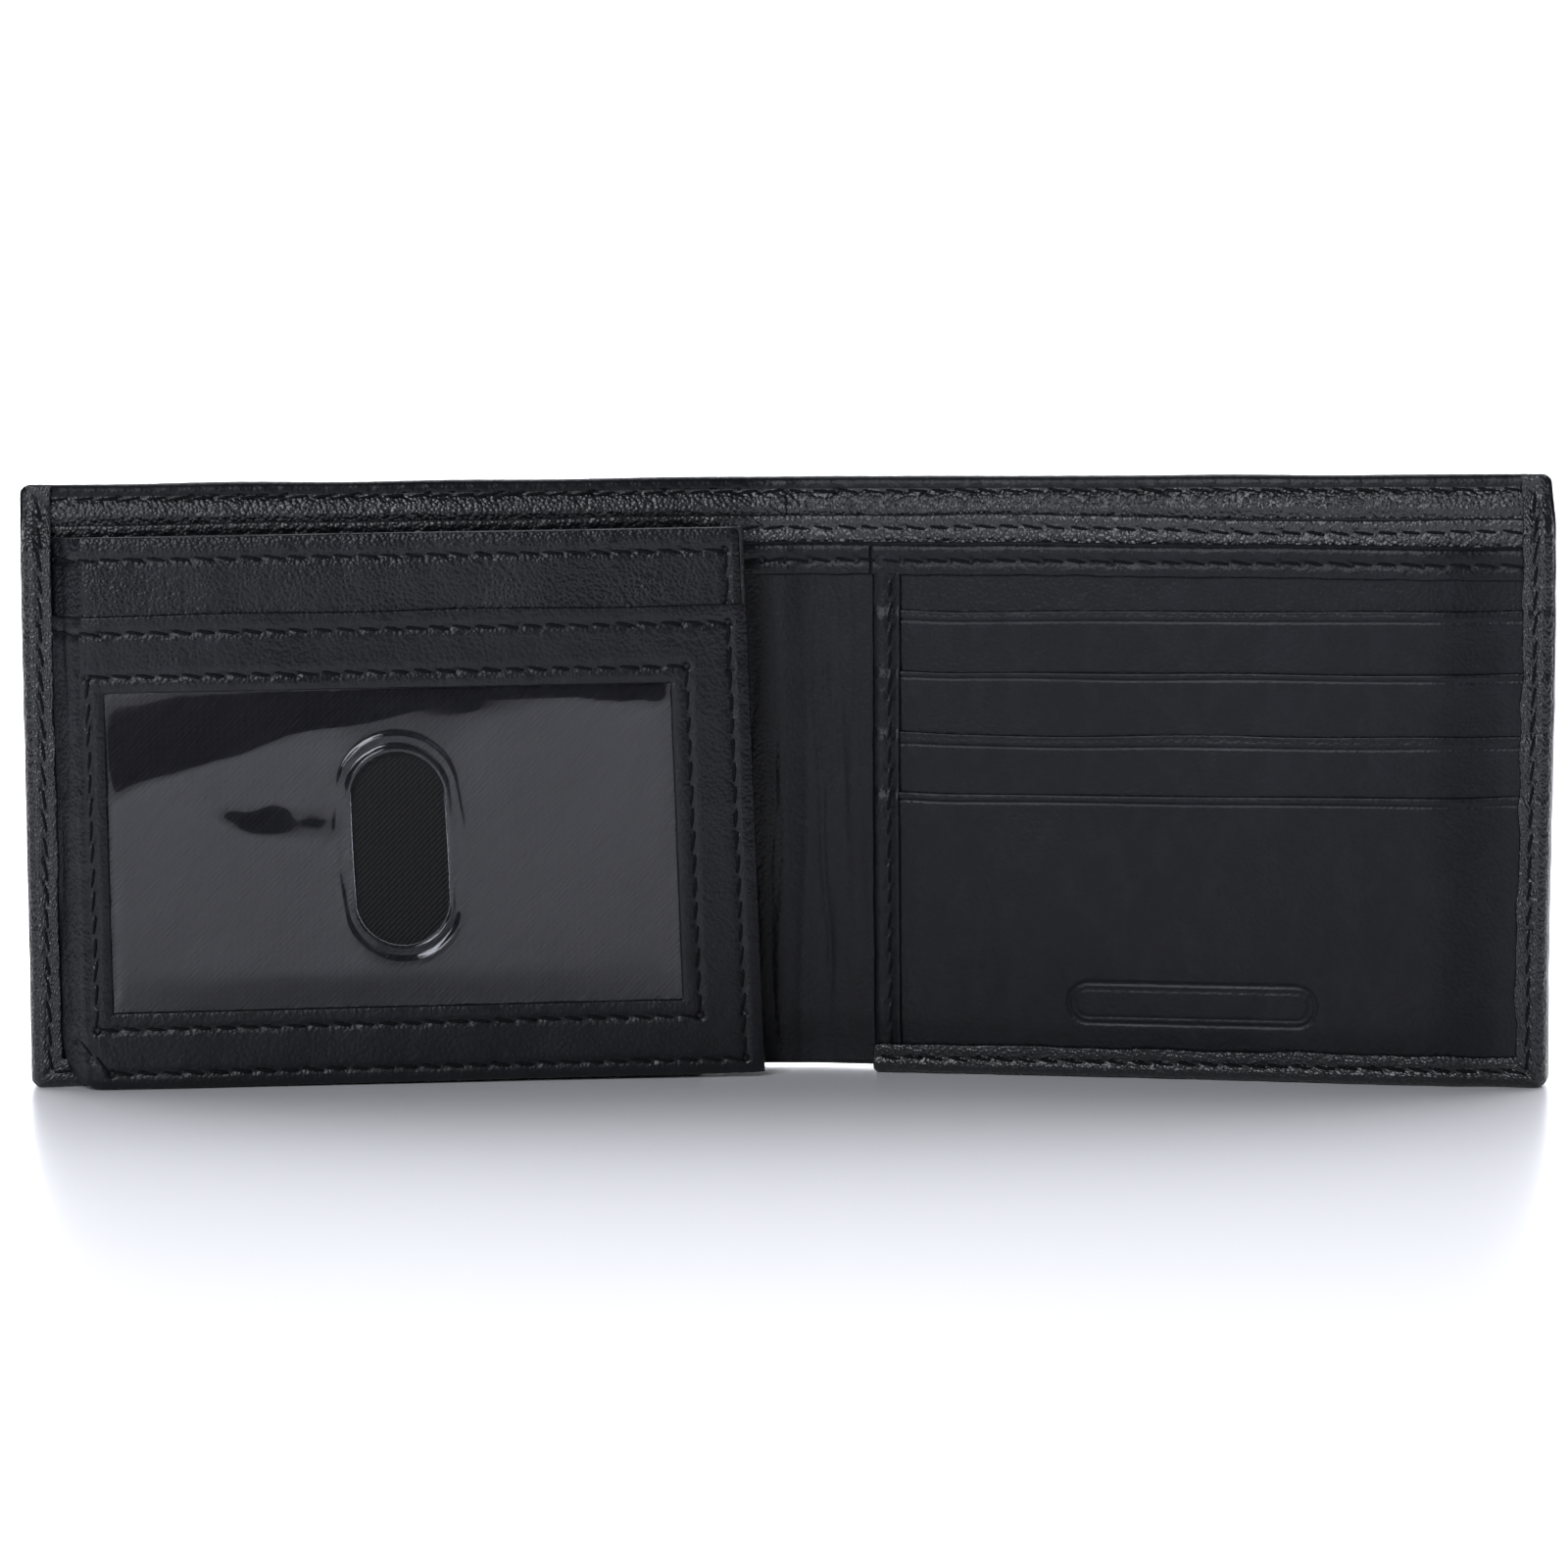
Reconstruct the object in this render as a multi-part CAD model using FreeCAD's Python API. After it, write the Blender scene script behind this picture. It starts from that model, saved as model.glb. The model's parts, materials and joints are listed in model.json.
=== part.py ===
"""Fold-out wallet: a leather bifold body with a third, fold-out identification flap.

The wallet stands upright on its long bottom edge, opened to a wide V.
+X runs from the flap's half to the card half, the inside faces -Y, and +Z is up.

Every panel is described flat, by three distances in millimetres:
  u  along the panel, away from its fold line
  t  through the leather, from the shell's outer face towards the inside
  z  up from the bottom edge
A panel is then turned into place about its fold line.
"""

import FreeCAD, Part
import math
import os
from FreeCAD import Vector

# ---------------------------------------------------------------- whole wallet
HALF_WIDTH = 113.8  # centre of the spine to an outer edge, laid flat
HEIGHT = 90.0
REST_FOLD = 10.0  # degrees that each half is turned in from flat, as it stands
FOLD_X = 4.0  # fold lines lie this far each side of the spine's centre
FOLD_T = 5.9  # depth of the fold axes, just inside the inner panel's face
FOLD_GAP = 0.15  # each sheet stops this short of its fold line
EDGE_U = HALF_WIDTH - FOLD_X  # outer edge of a half, from its fold line

# ---------------------------------------------------------------- shell leather
SHELL_T = 1.0
TURNED_T = 0.8  # the turned edge is skived thinner than the panel
BAND_WIDTH = 4.6  # turned edge seen from the inside
BOTTOM_BAND = 4.4
BOTTOM_WALL = 0.9
BAND_BACK_T = 4.95  # back and front of the turned edge's inner leg
BAND_FRONT_T = BAND_BACK_T + TURNED_T
TOP_HEM_DEPTH = 9.5
TOP_HEM_BACK_T = 1.2
SPINE_LIFT = 0.4  # the spine's bottom edge stands clear of the table
BAND_INNER_U = EDGE_U - BAND_WIDTH

# ---------------------------------------------------------------- inner sheets
SHEET_END_U = EDGE_U - 1.1  # sheets run under the turned edge to here
SHEET_BOTTOM = 1.0
LINING_T = (1.0, 1.2)
LINING_TOP = 85.0
DIVIDER_T = (2.6, 2.8)
DIVIDER_TOP = 83.5
DIVIDER_HEM_T = (2.3, 3.1)
DIVIDER_HEM_Z = (74.0, 84.2)
INNER_BACKING_T = (3.55, 3.75)
INNER_PANEL_T = (3.8, 4.4)
INNER_TOP = 79.2
BINDING_T = (3.2, 5.5)
BINDING_Z = (75.2, 80.1)
BINDING_BACK_LEG = 0.3
BINDING_FRONT_LEG = 0.55
SPINE_BINDING_FRONT_T = 5.05  # less than over the pocket base, so there is a step

# ---------------------------------------------------------------- card pockets
BASE_T = (4.4, 4.9)
BASE_START_U = 9.0  # the slip pocket's open edge, facing the spine
SIDE_STRIP = 4.5  # turned strip along that edge
SIDE_STRIP_T = 5.35
STRIP_T = 0.4
STRIP_PITCH_T = 0.45
STRIP_OVERLAP = 3.0  # each leather strip reaches this far behind the next one
BAG_T = 0.15
POCKET_START_U = BASE_START_U + SIDE_STRIP + 0.1
RIGHT_POCKET_END_U = BAND_INNER_U - 0.1
LEFT_POCKET_END_U = 99.4
LEFT_BASE_END_U = 100.9
RIGHT_SLOT_Z = (70.1, 60.9, 51.7, 42.8)  # top edges of the card slots
LEFT_SLOT_Z = (70.1, 60.9, 51.7)

# ---------------------------------------------------------------- fold-out flap
FLAP_REST = 1.6  # degrees that the flap stands off its half
FLAP_HINGE_U = BAND_INNER_U + 0.3
FLAP_HINGE_T = 6.4
FLAP_WIDTH = 104.8
FLAP_Z = (0.6, 82.6)
FLAP_START = 5.9  # from the hinge to the flap's layered part
HINGE_STRIP_T = 0.5
HINGE_STRIP_BOTTOM = 5.5
FLAP_BACK_STRIP_T = 0.35
FLAP_BACK_PITCH_T = 0.4
FLAP_BACK_T = 6.7
FLAP_BACK_SLOT_Z = (70.0, 60.5, 51.0)
FLAP_CORE_T = (7.9, 8.3)
FLAP_INSERT_T = (8.35, 8.75)
FILM_T = (8.8, 9.0)
FRAME_T = (9.05, 9.55)
FRAME_TOP = 71.0
TOP_PANEL_BOTTOM = 64.0
WINDOW_A = (8.0, 92.8)  # window opening, measured from the hinge
WINDOW_Z = (12.0, 59.5)
WINDOW_RADIUS = 0.8
FILM_MARGIN = 4.0
THUMB_A = 51.1
THUMB_Z = 35.5
THUMB_SIZE = (14.2, 28.8)
THUMB_RIMS = (1.1, 2.4)  # two moulded ridges, this far outside the hole
RIM_WIDTH = 0.6
RIM_HEIGHT = 0.04

# ---------------------------------------------------------------- thread
STITCH_PITCH = 3.5
STITCH_LENGTH = 2.7
STITCH_WIDTH = 0.45
STITCH_T = 0.12


class Panel:
    """A flat part of the wallet, with boxes built in u, t, z and turned into place."""

    def __init__(self, side=1, offset=0.0, turns=()):
        self.side = side
        self.offset = offset
        self.turns = turns

    def at(self, u, t, z):
        return Vector(self.side * (u + self.offset), -t, z)

    def slab(self, u, t, z):
        low = self.at(min(u) if self.side > 0 else max(u), t[1], z[0])
        return Part.makeBox(abs(u[1] - u[0]), t[1] - t[0], z[1] - z[0], low)

    def oval(self, u, z, size, t):
        """An upright or lying stadium-shaped plate, centred on u, z."""
        wide, tall = size
        radius = min(size) / 2
        reach_x, reach_z = wide / 2 - radius, tall / 2 - radius
        cut = Vector(radius, 0, 0) if tall > wide else Vector(0, 0, radius)
        end = Vector(reach_x, 0, reach_z)
        tip = end + end.normalize() * radius
        end = Vector(reach_x, 0, reach_z)
        line_a = Part.LineSegment(end * -1 + cut, end + cut)
        arc_a = Part.Arc(end + cut, tip, end - cut)
        line_b = Part.LineSegment(end - cut, end * -1 - cut)
        arc_b = Part.Arc(end * -1 - cut, tip * -1, end * -1 + cut)
        wire = Part.Wire([c.toShape() for c in (line_a, arc_a, line_b, arc_b)])
        plate = Part.Face(wire).extrude(Vector(0, t[0] - t[1], 0))
        plate.translate(self.at(u, t[0], z))
        return plate

    def place(self, shape):
        placed = shape.copy()
        for centre, degrees in self.turns:
            placed.rotate(centre, Vector(0, 0, 1), degrees)
        return placed

    def point(self, u, t, z=0.0):
        return self.place(Part.Vertex(self.at(u, t, z))).Point


FOLD_LEFT = Vector(-FOLD_X, -FOLD_T, 0)
FOLD_RIGHT = Vector(FOLD_X, -FOLD_T, 0)
LEFT = Panel(-1, FOLD_X, [(FOLD_LEFT, REST_FOLD)])
RIGHT = Panel(1, FOLD_X, [(FOLD_RIGHT, -REST_FOLD)])
SPINE = Panel()
FLAP_HINGE = LEFT.at(FLAP_HINGE_U, FLAP_HINGE_T, 0)
FLAP = Panel(-1, FOLD_X, [(FLAP_HINGE, -FLAP_REST), (FOLD_LEFT, REST_FOLD)])


def joined(*shapes):
    return shapes[0].fuse(list(shapes[1:])).removeSplitter()


def grown(size, by):
    return (size[0] + 2 * by, size[1] + 2 * by)


# ---------------------------------------------------------------- sheets that cross the spine
def shell(panel, span):
    """Outer leather of a half: back panel, turned outer edge, turned bottom edge, top hem."""
    hem_front = TOP_HEM_BACK_T + TURNED_T
    back = panel.slab(span, (0, SHELL_T), (0, HEIGHT))
    hem_top = panel.slab(span, (0, hem_front), (HEIGHT - TURNED_T, HEIGHT))
    hem_leg = panel.slab(span, (TOP_HEM_BACK_T, hem_front), (HEIGHT - TOP_HEM_DEPTH, HEIGHT))
    edge = panel.slab((EDGE_U - SHELL_T, EDGE_U), (0, BAND_FRONT_T), (0, HEIGHT))
    edge_leg = panel.slab((BAND_INNER_U, EDGE_U), (BAND_BACK_T, BAND_FRONT_T), (0, HEIGHT))
    banded = (BASE_START_U, EDGE_U)
    bottom = panel.slab(banded, (0, BAND_FRONT_T), (0, BOTTOM_WALL))
    bottom_leg = panel.slab(banded, (BAND_BACK_T, BAND_FRONT_T), (0, BOTTOM_BAND))
    return joined(back, hem_top, hem_leg, edge, edge_leg, bottom, bottom_leg)


def spine_shell(span):
    hem_front = TOP_HEM_BACK_T + TURNED_T
    return joined(
        SPINE.slab(span, (0, SHELL_T), (SPINE_LIFT, HEIGHT)),
        SPINE.slab(span, (0, hem_front), (HEIGHT - TURNED_T, HEIGHT)),
        SPINE.slab(span, (TOP_HEM_BACK_T, hem_front), (HEIGHT - TOP_HEM_DEPTH, HEIGHT)),
    )


def divider_hem(panel, span):
    """Leather strip folded over the divider's top edge."""
    cap = panel.slab(span, DIVIDER_HEM_T, DIVIDER_HEM_Z)
    clear = 0.05
    slot_t = (DIVIDER_T[0] - clear, DIVIDER_T[1] + clear)
    return cap.cut(panel.slab(span, slot_t, (DIVIDER_HEM_Z[0] - 1, DIVIDER_TOP)))


def binding(panel, span, front_t):
    """Leather strip folded over the top of the inner panel and the pocket base."""
    cap = panel.slab(span, (BINDING_T[0], front_t), BINDING_Z)
    slot_t = (BINDING_T[0] + BINDING_BACK_LEG, front_t - BINDING_FRONT_LEG)
    return cap.cut(panel.slab(span, slot_t, (BINDING_Z[0] - 1, INNER_TOP)))


def sheets(panel, name, span):
    """The lining, divider and inner panel, which every section of the wallet has."""
    return {
        f"lining_{name}": panel.slab(span, LINING_T, (SHEET_BOTTOM, LINING_TOP)),
        f"bill_divider_{name}": panel.slab(span, DIVIDER_T, (SHEET_BOTTOM, DIVIDER_TOP)),
        f"divider_hem_{name}": divider_hem(panel, span),
        f"inner_backing_{name}": panel.slab(span, INNER_BACKING_T, (SHEET_BOTTOM, INNER_TOP)),
        f"inner_panel_{name}": panel.slab(span, INNER_PANEL_T, (SHEET_BOTTOM, INNER_TOP)),
    }


# ---------------------------------------------------------------- pockets
def pocket_base(panel, end_u):
    """Slip pocket panel that carries the card slots, its spine-side edge turned forwards."""
    base = panel.slab((BASE_START_U, end_u), BASE_T, (SHEET_BOTTOM, INNER_TOP))
    strip_u = (BASE_START_U, BASE_START_U + SIDE_STRIP)
    strip_z = (BOTTOM_BAND + 0.1, BINDING_Z[0] - 0.1)
    return joined(base, panel.slab(strip_u, (BASE_T[0], SIDE_STRIP_T), strip_z))


def card_strips(panel, name, slots, span, bottom):
    """Leather faces of a stack of card slots, one in front of the other."""
    made = {}
    for i, top in enumerate(slots):
        back = BASE_T[1] + 0.05 + i * STRIP_PITCH_T
        last = i == len(slots) - 1
        low = bottom if last else slots[i + 1] - STRIP_OVERLAP
        made[f"card_slot_{name}_{i + 1}"] = panel.slab(span, (back, back + STRIP_T), (low, top))
    return made


def card_bags(panel, slots, span, bottom):
    """Thin fabric that each leather strip but the last hangs its pocket from."""
    bags = []
    for i, below in enumerate(slots[1:]):
        back = BASE_T[1] + 0.1 + i * STRIP_PITCH_T
        bags.append(panel.slab(span, (back, back + BAG_T), (bottom, below - STRIP_OVERLAP)))
    return Part.makeCompound(bags)


# ---------------------------------------------------------------- thread
def stitch_row(panel, start, end, t):
    """Separate stitches from one u, z point to another, lying on the face at depth t."""
    along_u = abs(end[0] - start[0]) > abs(end[1] - start[1])
    length = max(abs(end[0] - start[0]), abs(end[1] - start[1]))
    count = max(1, round(length / STITCH_PITCH))
    size = (STITCH_LENGTH, STITCH_WIDTH) if along_u else (STITCH_WIDTH, STITCH_LENGTH)
    first = panel.oval(start[0], start[1], size, (t, t + STITCH_T))
    row = []
    for i in range(count):
        share = (i + 0.5) / count
        stitch = first.copy()
        move_u = panel.side * (end[0] - start[0]) * share
        stitch.translate(Vector(move_u, 0, (end[1] - start[1]) * share))
        row.append(stitch)
    return row


def half_stitching(panel, name, binding_end_u):
    """Rows that hold a half together: shell hem, divider hem, binding, edges, slip pocket."""
    start = FOLD_GAP
    top_z, divider_z, binding_z = HEIGHT - 2.3, DIVIDER_HEM_Z[1] - 2.2, BINDING_Z[1] - 2.4
    hem_t = TOP_HEM_BACK_T + TURNED_T
    edge_u = EDGE_U - 2.7
    bottom_z = 2.6
    side_u = BASE_START_U + 2.8
    base_row_u = BASE_START_U + 0.5
    edge = stitch_row(panel, (edge_u, bottom_z), (edge_u, HEIGHT - 3), BAND_FRONT_T)
    edge += stitch_row(panel, (BASE_START_U, bottom_z), (edge_u - 1, bottom_z), BAND_FRONT_T)
    side = stitch_row(panel, (side_u, BOTTOM_BAND), (side_u, BINDING_Z[0]), SIDE_STRIP_T)
    return {
        f"stitching_top_{name}": stitch_row(panel, (start, top_z), (BAND_INNER_U, top_z), hem_t),
        f"stitching_divider_{name}": stitch_row(
            panel, (start, divider_z), (BAND_INNER_U, divider_z), DIVIDER_HEM_T[1]
        ),
        f"stitching_binding_{name}": stitch_row(
            panel, (base_row_u, binding_z), (binding_end_u, binding_z), BINDING_T[1]
        ),
        f"stitching_edge_{name}": edge,
        f"stitching_side_{name}": side,
    }


def spine_stitching():
    rows = []
    for z, t in (
        (HEIGHT - 2.3, TOP_HEM_BACK_T + TURNED_T),
        (DIVIDER_HEM_Z[1] - 2.2, DIVIDER_HEM_T[1]),
        (BINDING_Z[1] - 2.4, SPINE_BINDING_FRONT_T),
    ):
        rows += stitch_row(SPINE, (-FOLD_X + FOLD_GAP, z), (FOLD_X - FOLD_GAP, z), t)
    return rows


# ---------------------------------------------------------------- the two halves and the spine
def half(panel, name, slots, pocket_end, base_end, binding_end):
    span = (FOLD_GAP, SHEET_END_U)
    pocket_u = (POCKET_START_U, pocket_end)
    pocket_bottom = BOTTOM_BAND + 0.1
    made = {f"shell_{name}": shell(panel, (FOLD_GAP, EDGE_U))}
    made.update(sheets(panel, name, span))
    near = binding(panel, (FOLD_GAP, BASE_START_U), SPINE_BINDING_FRONT_T)
    far = binding(panel, (BASE_START_U, binding_end), BINDING_T[1])
    made[f"top_binding_{name}"] = joined(near, far)
    made[f"slip_pocket_{name}"] = pocket_base(panel, base_end)
    made.update(card_strips(panel, name, slots, pocket_u, pocket_bottom))
    made[f"card_bags_{name}"] = card_bags(panel, slots, pocket_u, pocket_bottom)
    for node, row in half_stitching(panel, name, binding_end).items():
        made[node] = Part.makeCompound(row)
    return made


def spine():
    span = (-FOLD_X + FOLD_GAP, FOLD_X - FOLD_GAP)
    made = {"shell_spine": spine_shell(span)}
    made.update(sheets(SPINE, "spine", span))
    made["top_binding_spine"] = binding(SPINE, span, SPINE_BINDING_FRONT_T)
    made["stitching_spine"] = Part.makeCompound(spine_stitching())
    return made


def flap_anchor():
    """End of the flap's leather, sewn in under the turned outer edge."""
    return LEFT.slab((LEFT_BASE_END_U + 0.1, SHEET_END_U), BASE_T, (SHEET_BOTTOM, 81.5))


# ---------------------------------------------------------------- the flap
def flap_u(a):
    """Distance from the hinge, as u in the left half's frame."""
    return FLAP_HINGE_U - a


def flap_slab(a, t, z):
    return FLAP.slab((flap_u(a[1]), flap_u(a[0])), t, z)


def hinge_strip():
    """Leather that the flap swings on, stepping up to the flap's layered part."""
    t = (FLAP_HINGE_T - HINGE_STRIP_T / 2, FLAP_HINGE_T + HINGE_STRIP_T / 2)
    riser_a = (FLAP_START - 0.6, FLAP_START - 0.05)
    web = flap_slab((0.3, riser_a[1]), t, (HINGE_STRIP_BOTTOM, FLAP_Z[1]))
    return joined(web, flap_slab(riser_a, (t[0], FRAME_T[1]), (HINGE_STRIP_BOTTOM, FLAP_Z[1])))


def window_frame():
    """Front leather of the flap, with the window cut out of it."""
    frame = flap_slab((FLAP_START, FLAP_WIDTH), FRAME_T, (FLAP_Z[0], FRAME_TOP))
    cutter = flap_slab(WINDOW_A, (FRAME_T[0] - 1, FRAME_T[1] + 1), WINDOW_Z)
    upright = [e for e in cutter.Edges if abs(e.tangentAt(e.FirstParameter).y) > 0.99]
    return frame.cut(cutter.makeFillet(WINDOW_RADIUS, upright))


def window_film():
    """Clear film behind the frame, with a thumb hole and two moulded ridges round it."""
    a = (WINDOW_A[0] - 1.9, WINDOW_A[1] + FILM_MARGIN)
    z = (WINDOW_Z[0] - FILM_MARGIN, WINDOW_Z[1] + FILM_MARGIN)
    film = flap_slab(a, FILM_T, z)
    thumb_u = flap_u(THUMB_A)
    ridge_t = (FILM_T[1] - 0.1, FILM_T[1] + RIM_HEIGHT)
    for out in THUMB_RIMS:
        outer = FLAP.oval(thumb_u, THUMB_Z, grown(THUMB_SIZE, out), ridge_t)
        inner = FLAP.oval(thumb_u, THUMB_Z, grown(THUMB_SIZE, out - RIM_WIDTH), ridge_t)
        film = film.fuse(outer.cut(inner))
    hole_t = (FILM_T[0] - 1, FILM_T[1] + 1)
    return film.cut(FLAP.oval(thumb_u, THUMB_Z, THUMB_SIZE, hole_t)).removeSplitter()


def flap_back_slots(a, bottom):
    """Card slots on the flap's hidden side, stacked towards the left half."""
    made = {}
    count = len(FLAP_BACK_SLOT_Z)
    for i, top in enumerate(FLAP_BACK_SLOT_Z):
        back = FLAP_BACK_T + (count - 1 - i) * FLAP_BACK_PITCH_T
        last = i == count - 1
        low = bottom if last else FLAP_BACK_SLOT_Z[i + 1] - STRIP_OVERLAP
        made[f"flap_back_slot_{i + 1}"] = flap_slab(a, (back, back + FLAP_BACK_STRIP_T), (low, top))
    return made


def flap_back_bags(a, bottom):
    bags = []
    for i, below in enumerate(FLAP_BACK_SLOT_Z[1:]):
        back = FLAP_BACK_T + (len(FLAP_BACK_SLOT_Z) - 1 - i) * FLAP_BACK_PITCH_T + 0.1
        bags.append(flap_slab(a, (back, back + BAG_T), (bottom, below - STRIP_OVERLAP)))
    return Part.makeCompound(bags)


def flap_row(start, end, t):
    """A row of stitches given from the hinge instead of from the fold."""
    return stitch_row(FLAP, (flap_u(start[0]), start[1]), (flap_u(end[0]), end[1]), t)


def flap_edge_stitching():
    inset = 2.9
    right = FLAP_WIDTH - inset
    top_z = FLAP_Z[1] - 3.4
    low_z = FLAP_Z[0] + 2.2
    hem_z = FRAME_TOP - 2.6
    top_t, frame_t = FLAP_INSERT_T[1], FRAME_T[1]
    first = FLAP_START + 0.6
    rows = flap_row((first, top_z), (right, top_z), top_t)
    rows += flap_row((right, top_z - 1), (right, FRAME_TOP + 0.4), top_t)
    rows += flap_row((first, hem_z), (right - 1, hem_z), frame_t)
    rows += flap_row((right, hem_z), (right, low_z + 1), frame_t)
    return Part.makeCompound(rows + flap_row((first, low_z), (right - 1, low_z), frame_t))


def flap_window_stitching():
    side, above, below = 2.4, 2.8, 2.5
    left, right = WINDOW_A[0] - 1.1, WINDOW_A[1] + side
    top, bottom = WINDOW_Z[1] + above, WINDOW_Z[0] - below
    t = FRAME_T[1]
    rows = flap_row((left + 1, top), (right - 1, top), t)
    rows += flap_row((left + 1, bottom), (right - 1, bottom), t)
    rows += flap_row((left, bottom + 0.5), (left, top - 0.5), t)
    rows += flap_row((right, bottom + 0.5), (right, top - 0.5), t)
    return Part.makeCompound(rows)


def flap():
    a = (FLAP_START, FLAP_WIDTH)
    slot_a = (FLAP_START + 3, FLAP_WIDTH - 4.5)
    slot_bottom = FLAP_Z[0] + 4.0
    insert_a = (FLAP_START, FLAP_WIDTH - 0.8)
    made = {
        "flap_hinge_strip": hinge_strip(),
        "flap_window_frame": window_frame(),
        "flap_window_film": window_film(),
        "flap_window_backing": flap_slab(
            insert_a, (FLAP_INSERT_T[0], FLAP_INSERT_T[0] + BAG_T), (2.0, TOP_PANEL_BOTTOM)
        ),
        "flap_top_panel": flap_slab(insert_a, FLAP_INSERT_T, (TOP_PANEL_BOTTOM, FLAP_Z[1])),
        "flap_back_panel": flap_slab(a, FLAP_CORE_T, FLAP_Z),
        "flap_back_bags": flap_back_bags(slot_a, slot_bottom),
        "stitching_flap_edge": flap_edge_stitching(),
        "stitching_flap_window": flap_window_stitching(),
    }
    made.update(flap_back_slots(slot_a, slot_bottom))
    return made


# ---------------------------------------------------------------- assembly
def bodies():
    left = half(LEFT, "left", LEFT_SLOT_Z, LEFT_POCKET_END_U, LEFT_BASE_END_U, LEFT_BASE_END_U)
    left["flap_anchor"] = flap_anchor()
    right = half(RIGHT, "right", RIGHT_SLOT_Z, RIGHT_POCKET_END_U, SHEET_END_U, BAND_INNER_U - 0.1)
    flat = {"left_half": (LEFT, left), "spine": (SPINE, spine()), "right_half": (RIGHT, right)}
    flat["flap"] = (FLAP, flap())
    return {
        body: {node: panel.place(shape) for node, shape in nodes.items()}
        for body, (panel, nodes) in flat.items()
    }


BODIES = bodies()
WHOLE = Part.makeCompound([s for nodes in BODIES.values() for s in nodes.values()]).BoundBox
# The origin is at the bottom centre of the whole wallet as it stands.
TO_ORIGIN = Vector(-WHOLE.Center.x, -WHOLE.Center.y, -WHOLE.ZMin)
AXES = {
    "left_fold": FOLD_LEFT + TO_ORIGIN,
    "right_fold": FOLD_RIGHT + TO_ORIGIN,
    "flap_hinge": LEFT.place(Part.Vertex(FLAP_HINGE)).Point + TO_ORIGIN,
}


def export():
    os.makedirs("parts", exist_ok=True)
    for nodes in BODIES.values():
        for node, shape in nodes.items():
            shape.translate(TO_ORIGIN)
            shape.exportStep(f"parts/{node}.step")
            if not shape.isValid() or not shape.Solids:
                print("bad shape", node, shape.isValid(), len(shape.Solids))
    box = WHOLE
    print("size", round(box.XLength, 2), round(box.YLength, 2), round(box.ZLength, 2))
    for name, axis in AXES.items():
        print(name, round(axis.x, 4), round(axis.y, 4))


export()
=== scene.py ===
"""Looks of the fold-out wallet: leather, thread, lining and film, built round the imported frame.

Everything is laid out flat first, in millimetres: x from the spine's centre towards an outer
edge, t from the shell's outer face towards the inside, z up. It is then folded into place.
"""
import json
import math

import bpy
import numpy as np
from mathutils import Euler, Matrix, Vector


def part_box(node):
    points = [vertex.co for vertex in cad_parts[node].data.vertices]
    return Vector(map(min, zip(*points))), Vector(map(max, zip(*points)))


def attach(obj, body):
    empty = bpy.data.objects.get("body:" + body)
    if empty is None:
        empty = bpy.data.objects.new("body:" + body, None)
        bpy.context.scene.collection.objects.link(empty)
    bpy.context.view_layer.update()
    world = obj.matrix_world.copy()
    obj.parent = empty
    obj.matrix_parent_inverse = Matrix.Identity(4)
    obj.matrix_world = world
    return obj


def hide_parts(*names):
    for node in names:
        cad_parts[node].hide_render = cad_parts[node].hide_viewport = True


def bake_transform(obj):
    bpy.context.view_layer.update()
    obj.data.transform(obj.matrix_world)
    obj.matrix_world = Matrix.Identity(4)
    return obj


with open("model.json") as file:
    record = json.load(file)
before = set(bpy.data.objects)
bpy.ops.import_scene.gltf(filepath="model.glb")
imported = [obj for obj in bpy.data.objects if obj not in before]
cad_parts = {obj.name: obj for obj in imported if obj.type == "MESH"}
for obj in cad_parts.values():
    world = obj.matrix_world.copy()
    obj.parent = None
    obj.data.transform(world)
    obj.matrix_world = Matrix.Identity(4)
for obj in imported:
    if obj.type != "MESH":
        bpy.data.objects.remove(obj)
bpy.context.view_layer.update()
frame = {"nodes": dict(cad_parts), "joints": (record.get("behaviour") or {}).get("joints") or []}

MM = 0.001
JOINTS = {j["name"]: j for j in frame["joints"]}


# ---------------------------------------------------------------- places read from the frame
def joint_place(name):
    return np.array(JOINTS[name]["pos_m"][:2]) / MM


FOLD_DEG = -JOINTS["spine_fold_left"]["range_deg"][0]
FLAP_DEG = -JOINTS["flap_hinge"]["range_deg"][0]
FOLD_X, FOLD_Y = joint_place("spine_fold_right")
BACK_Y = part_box("shell_spine")[1].y / MM


def turned(x, y, centre, radians):
    """x, y turned about centre, anticlockwise seen from above."""
    dx, dy = x - centre[0], y - centre[1]
    c, s = np.cos(radians), np.sin(radians)
    return centre[0] + dx * c - dy * s, centre[1] + dx * s + dy * c


def to_flat(node, flap=False):
    """Lowest and highest x, t, z of a CAD node, with the wallet laid flat. x is signed."""
    co = np.array([v.co for v in frame["nodes"][node].data.vertices]) / MM
    side = np.sign(co[:, 0].mean())
    x, y = turned(co[:, 0], co[:, 1], (side * FOLD_X, FOLD_Y), side * math.radians(FOLD_DEG))
    if flap:
        x, y = turned(x, y, HINGE, math.radians(FLAP_DEG))
    flat = np.stack([x, BACK_Y - y, co[:, 2]], 1)
    return flat.min(0), flat.max(0)


hinge_x, hinge_y = joint_place("flap_hinge")
HINGE = turned(hinge_x, hinge_y, (-FOLD_X, FOLD_Y), -math.radians(FOLD_DEG))
HINGE_U = -HINGE[0]

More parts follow.
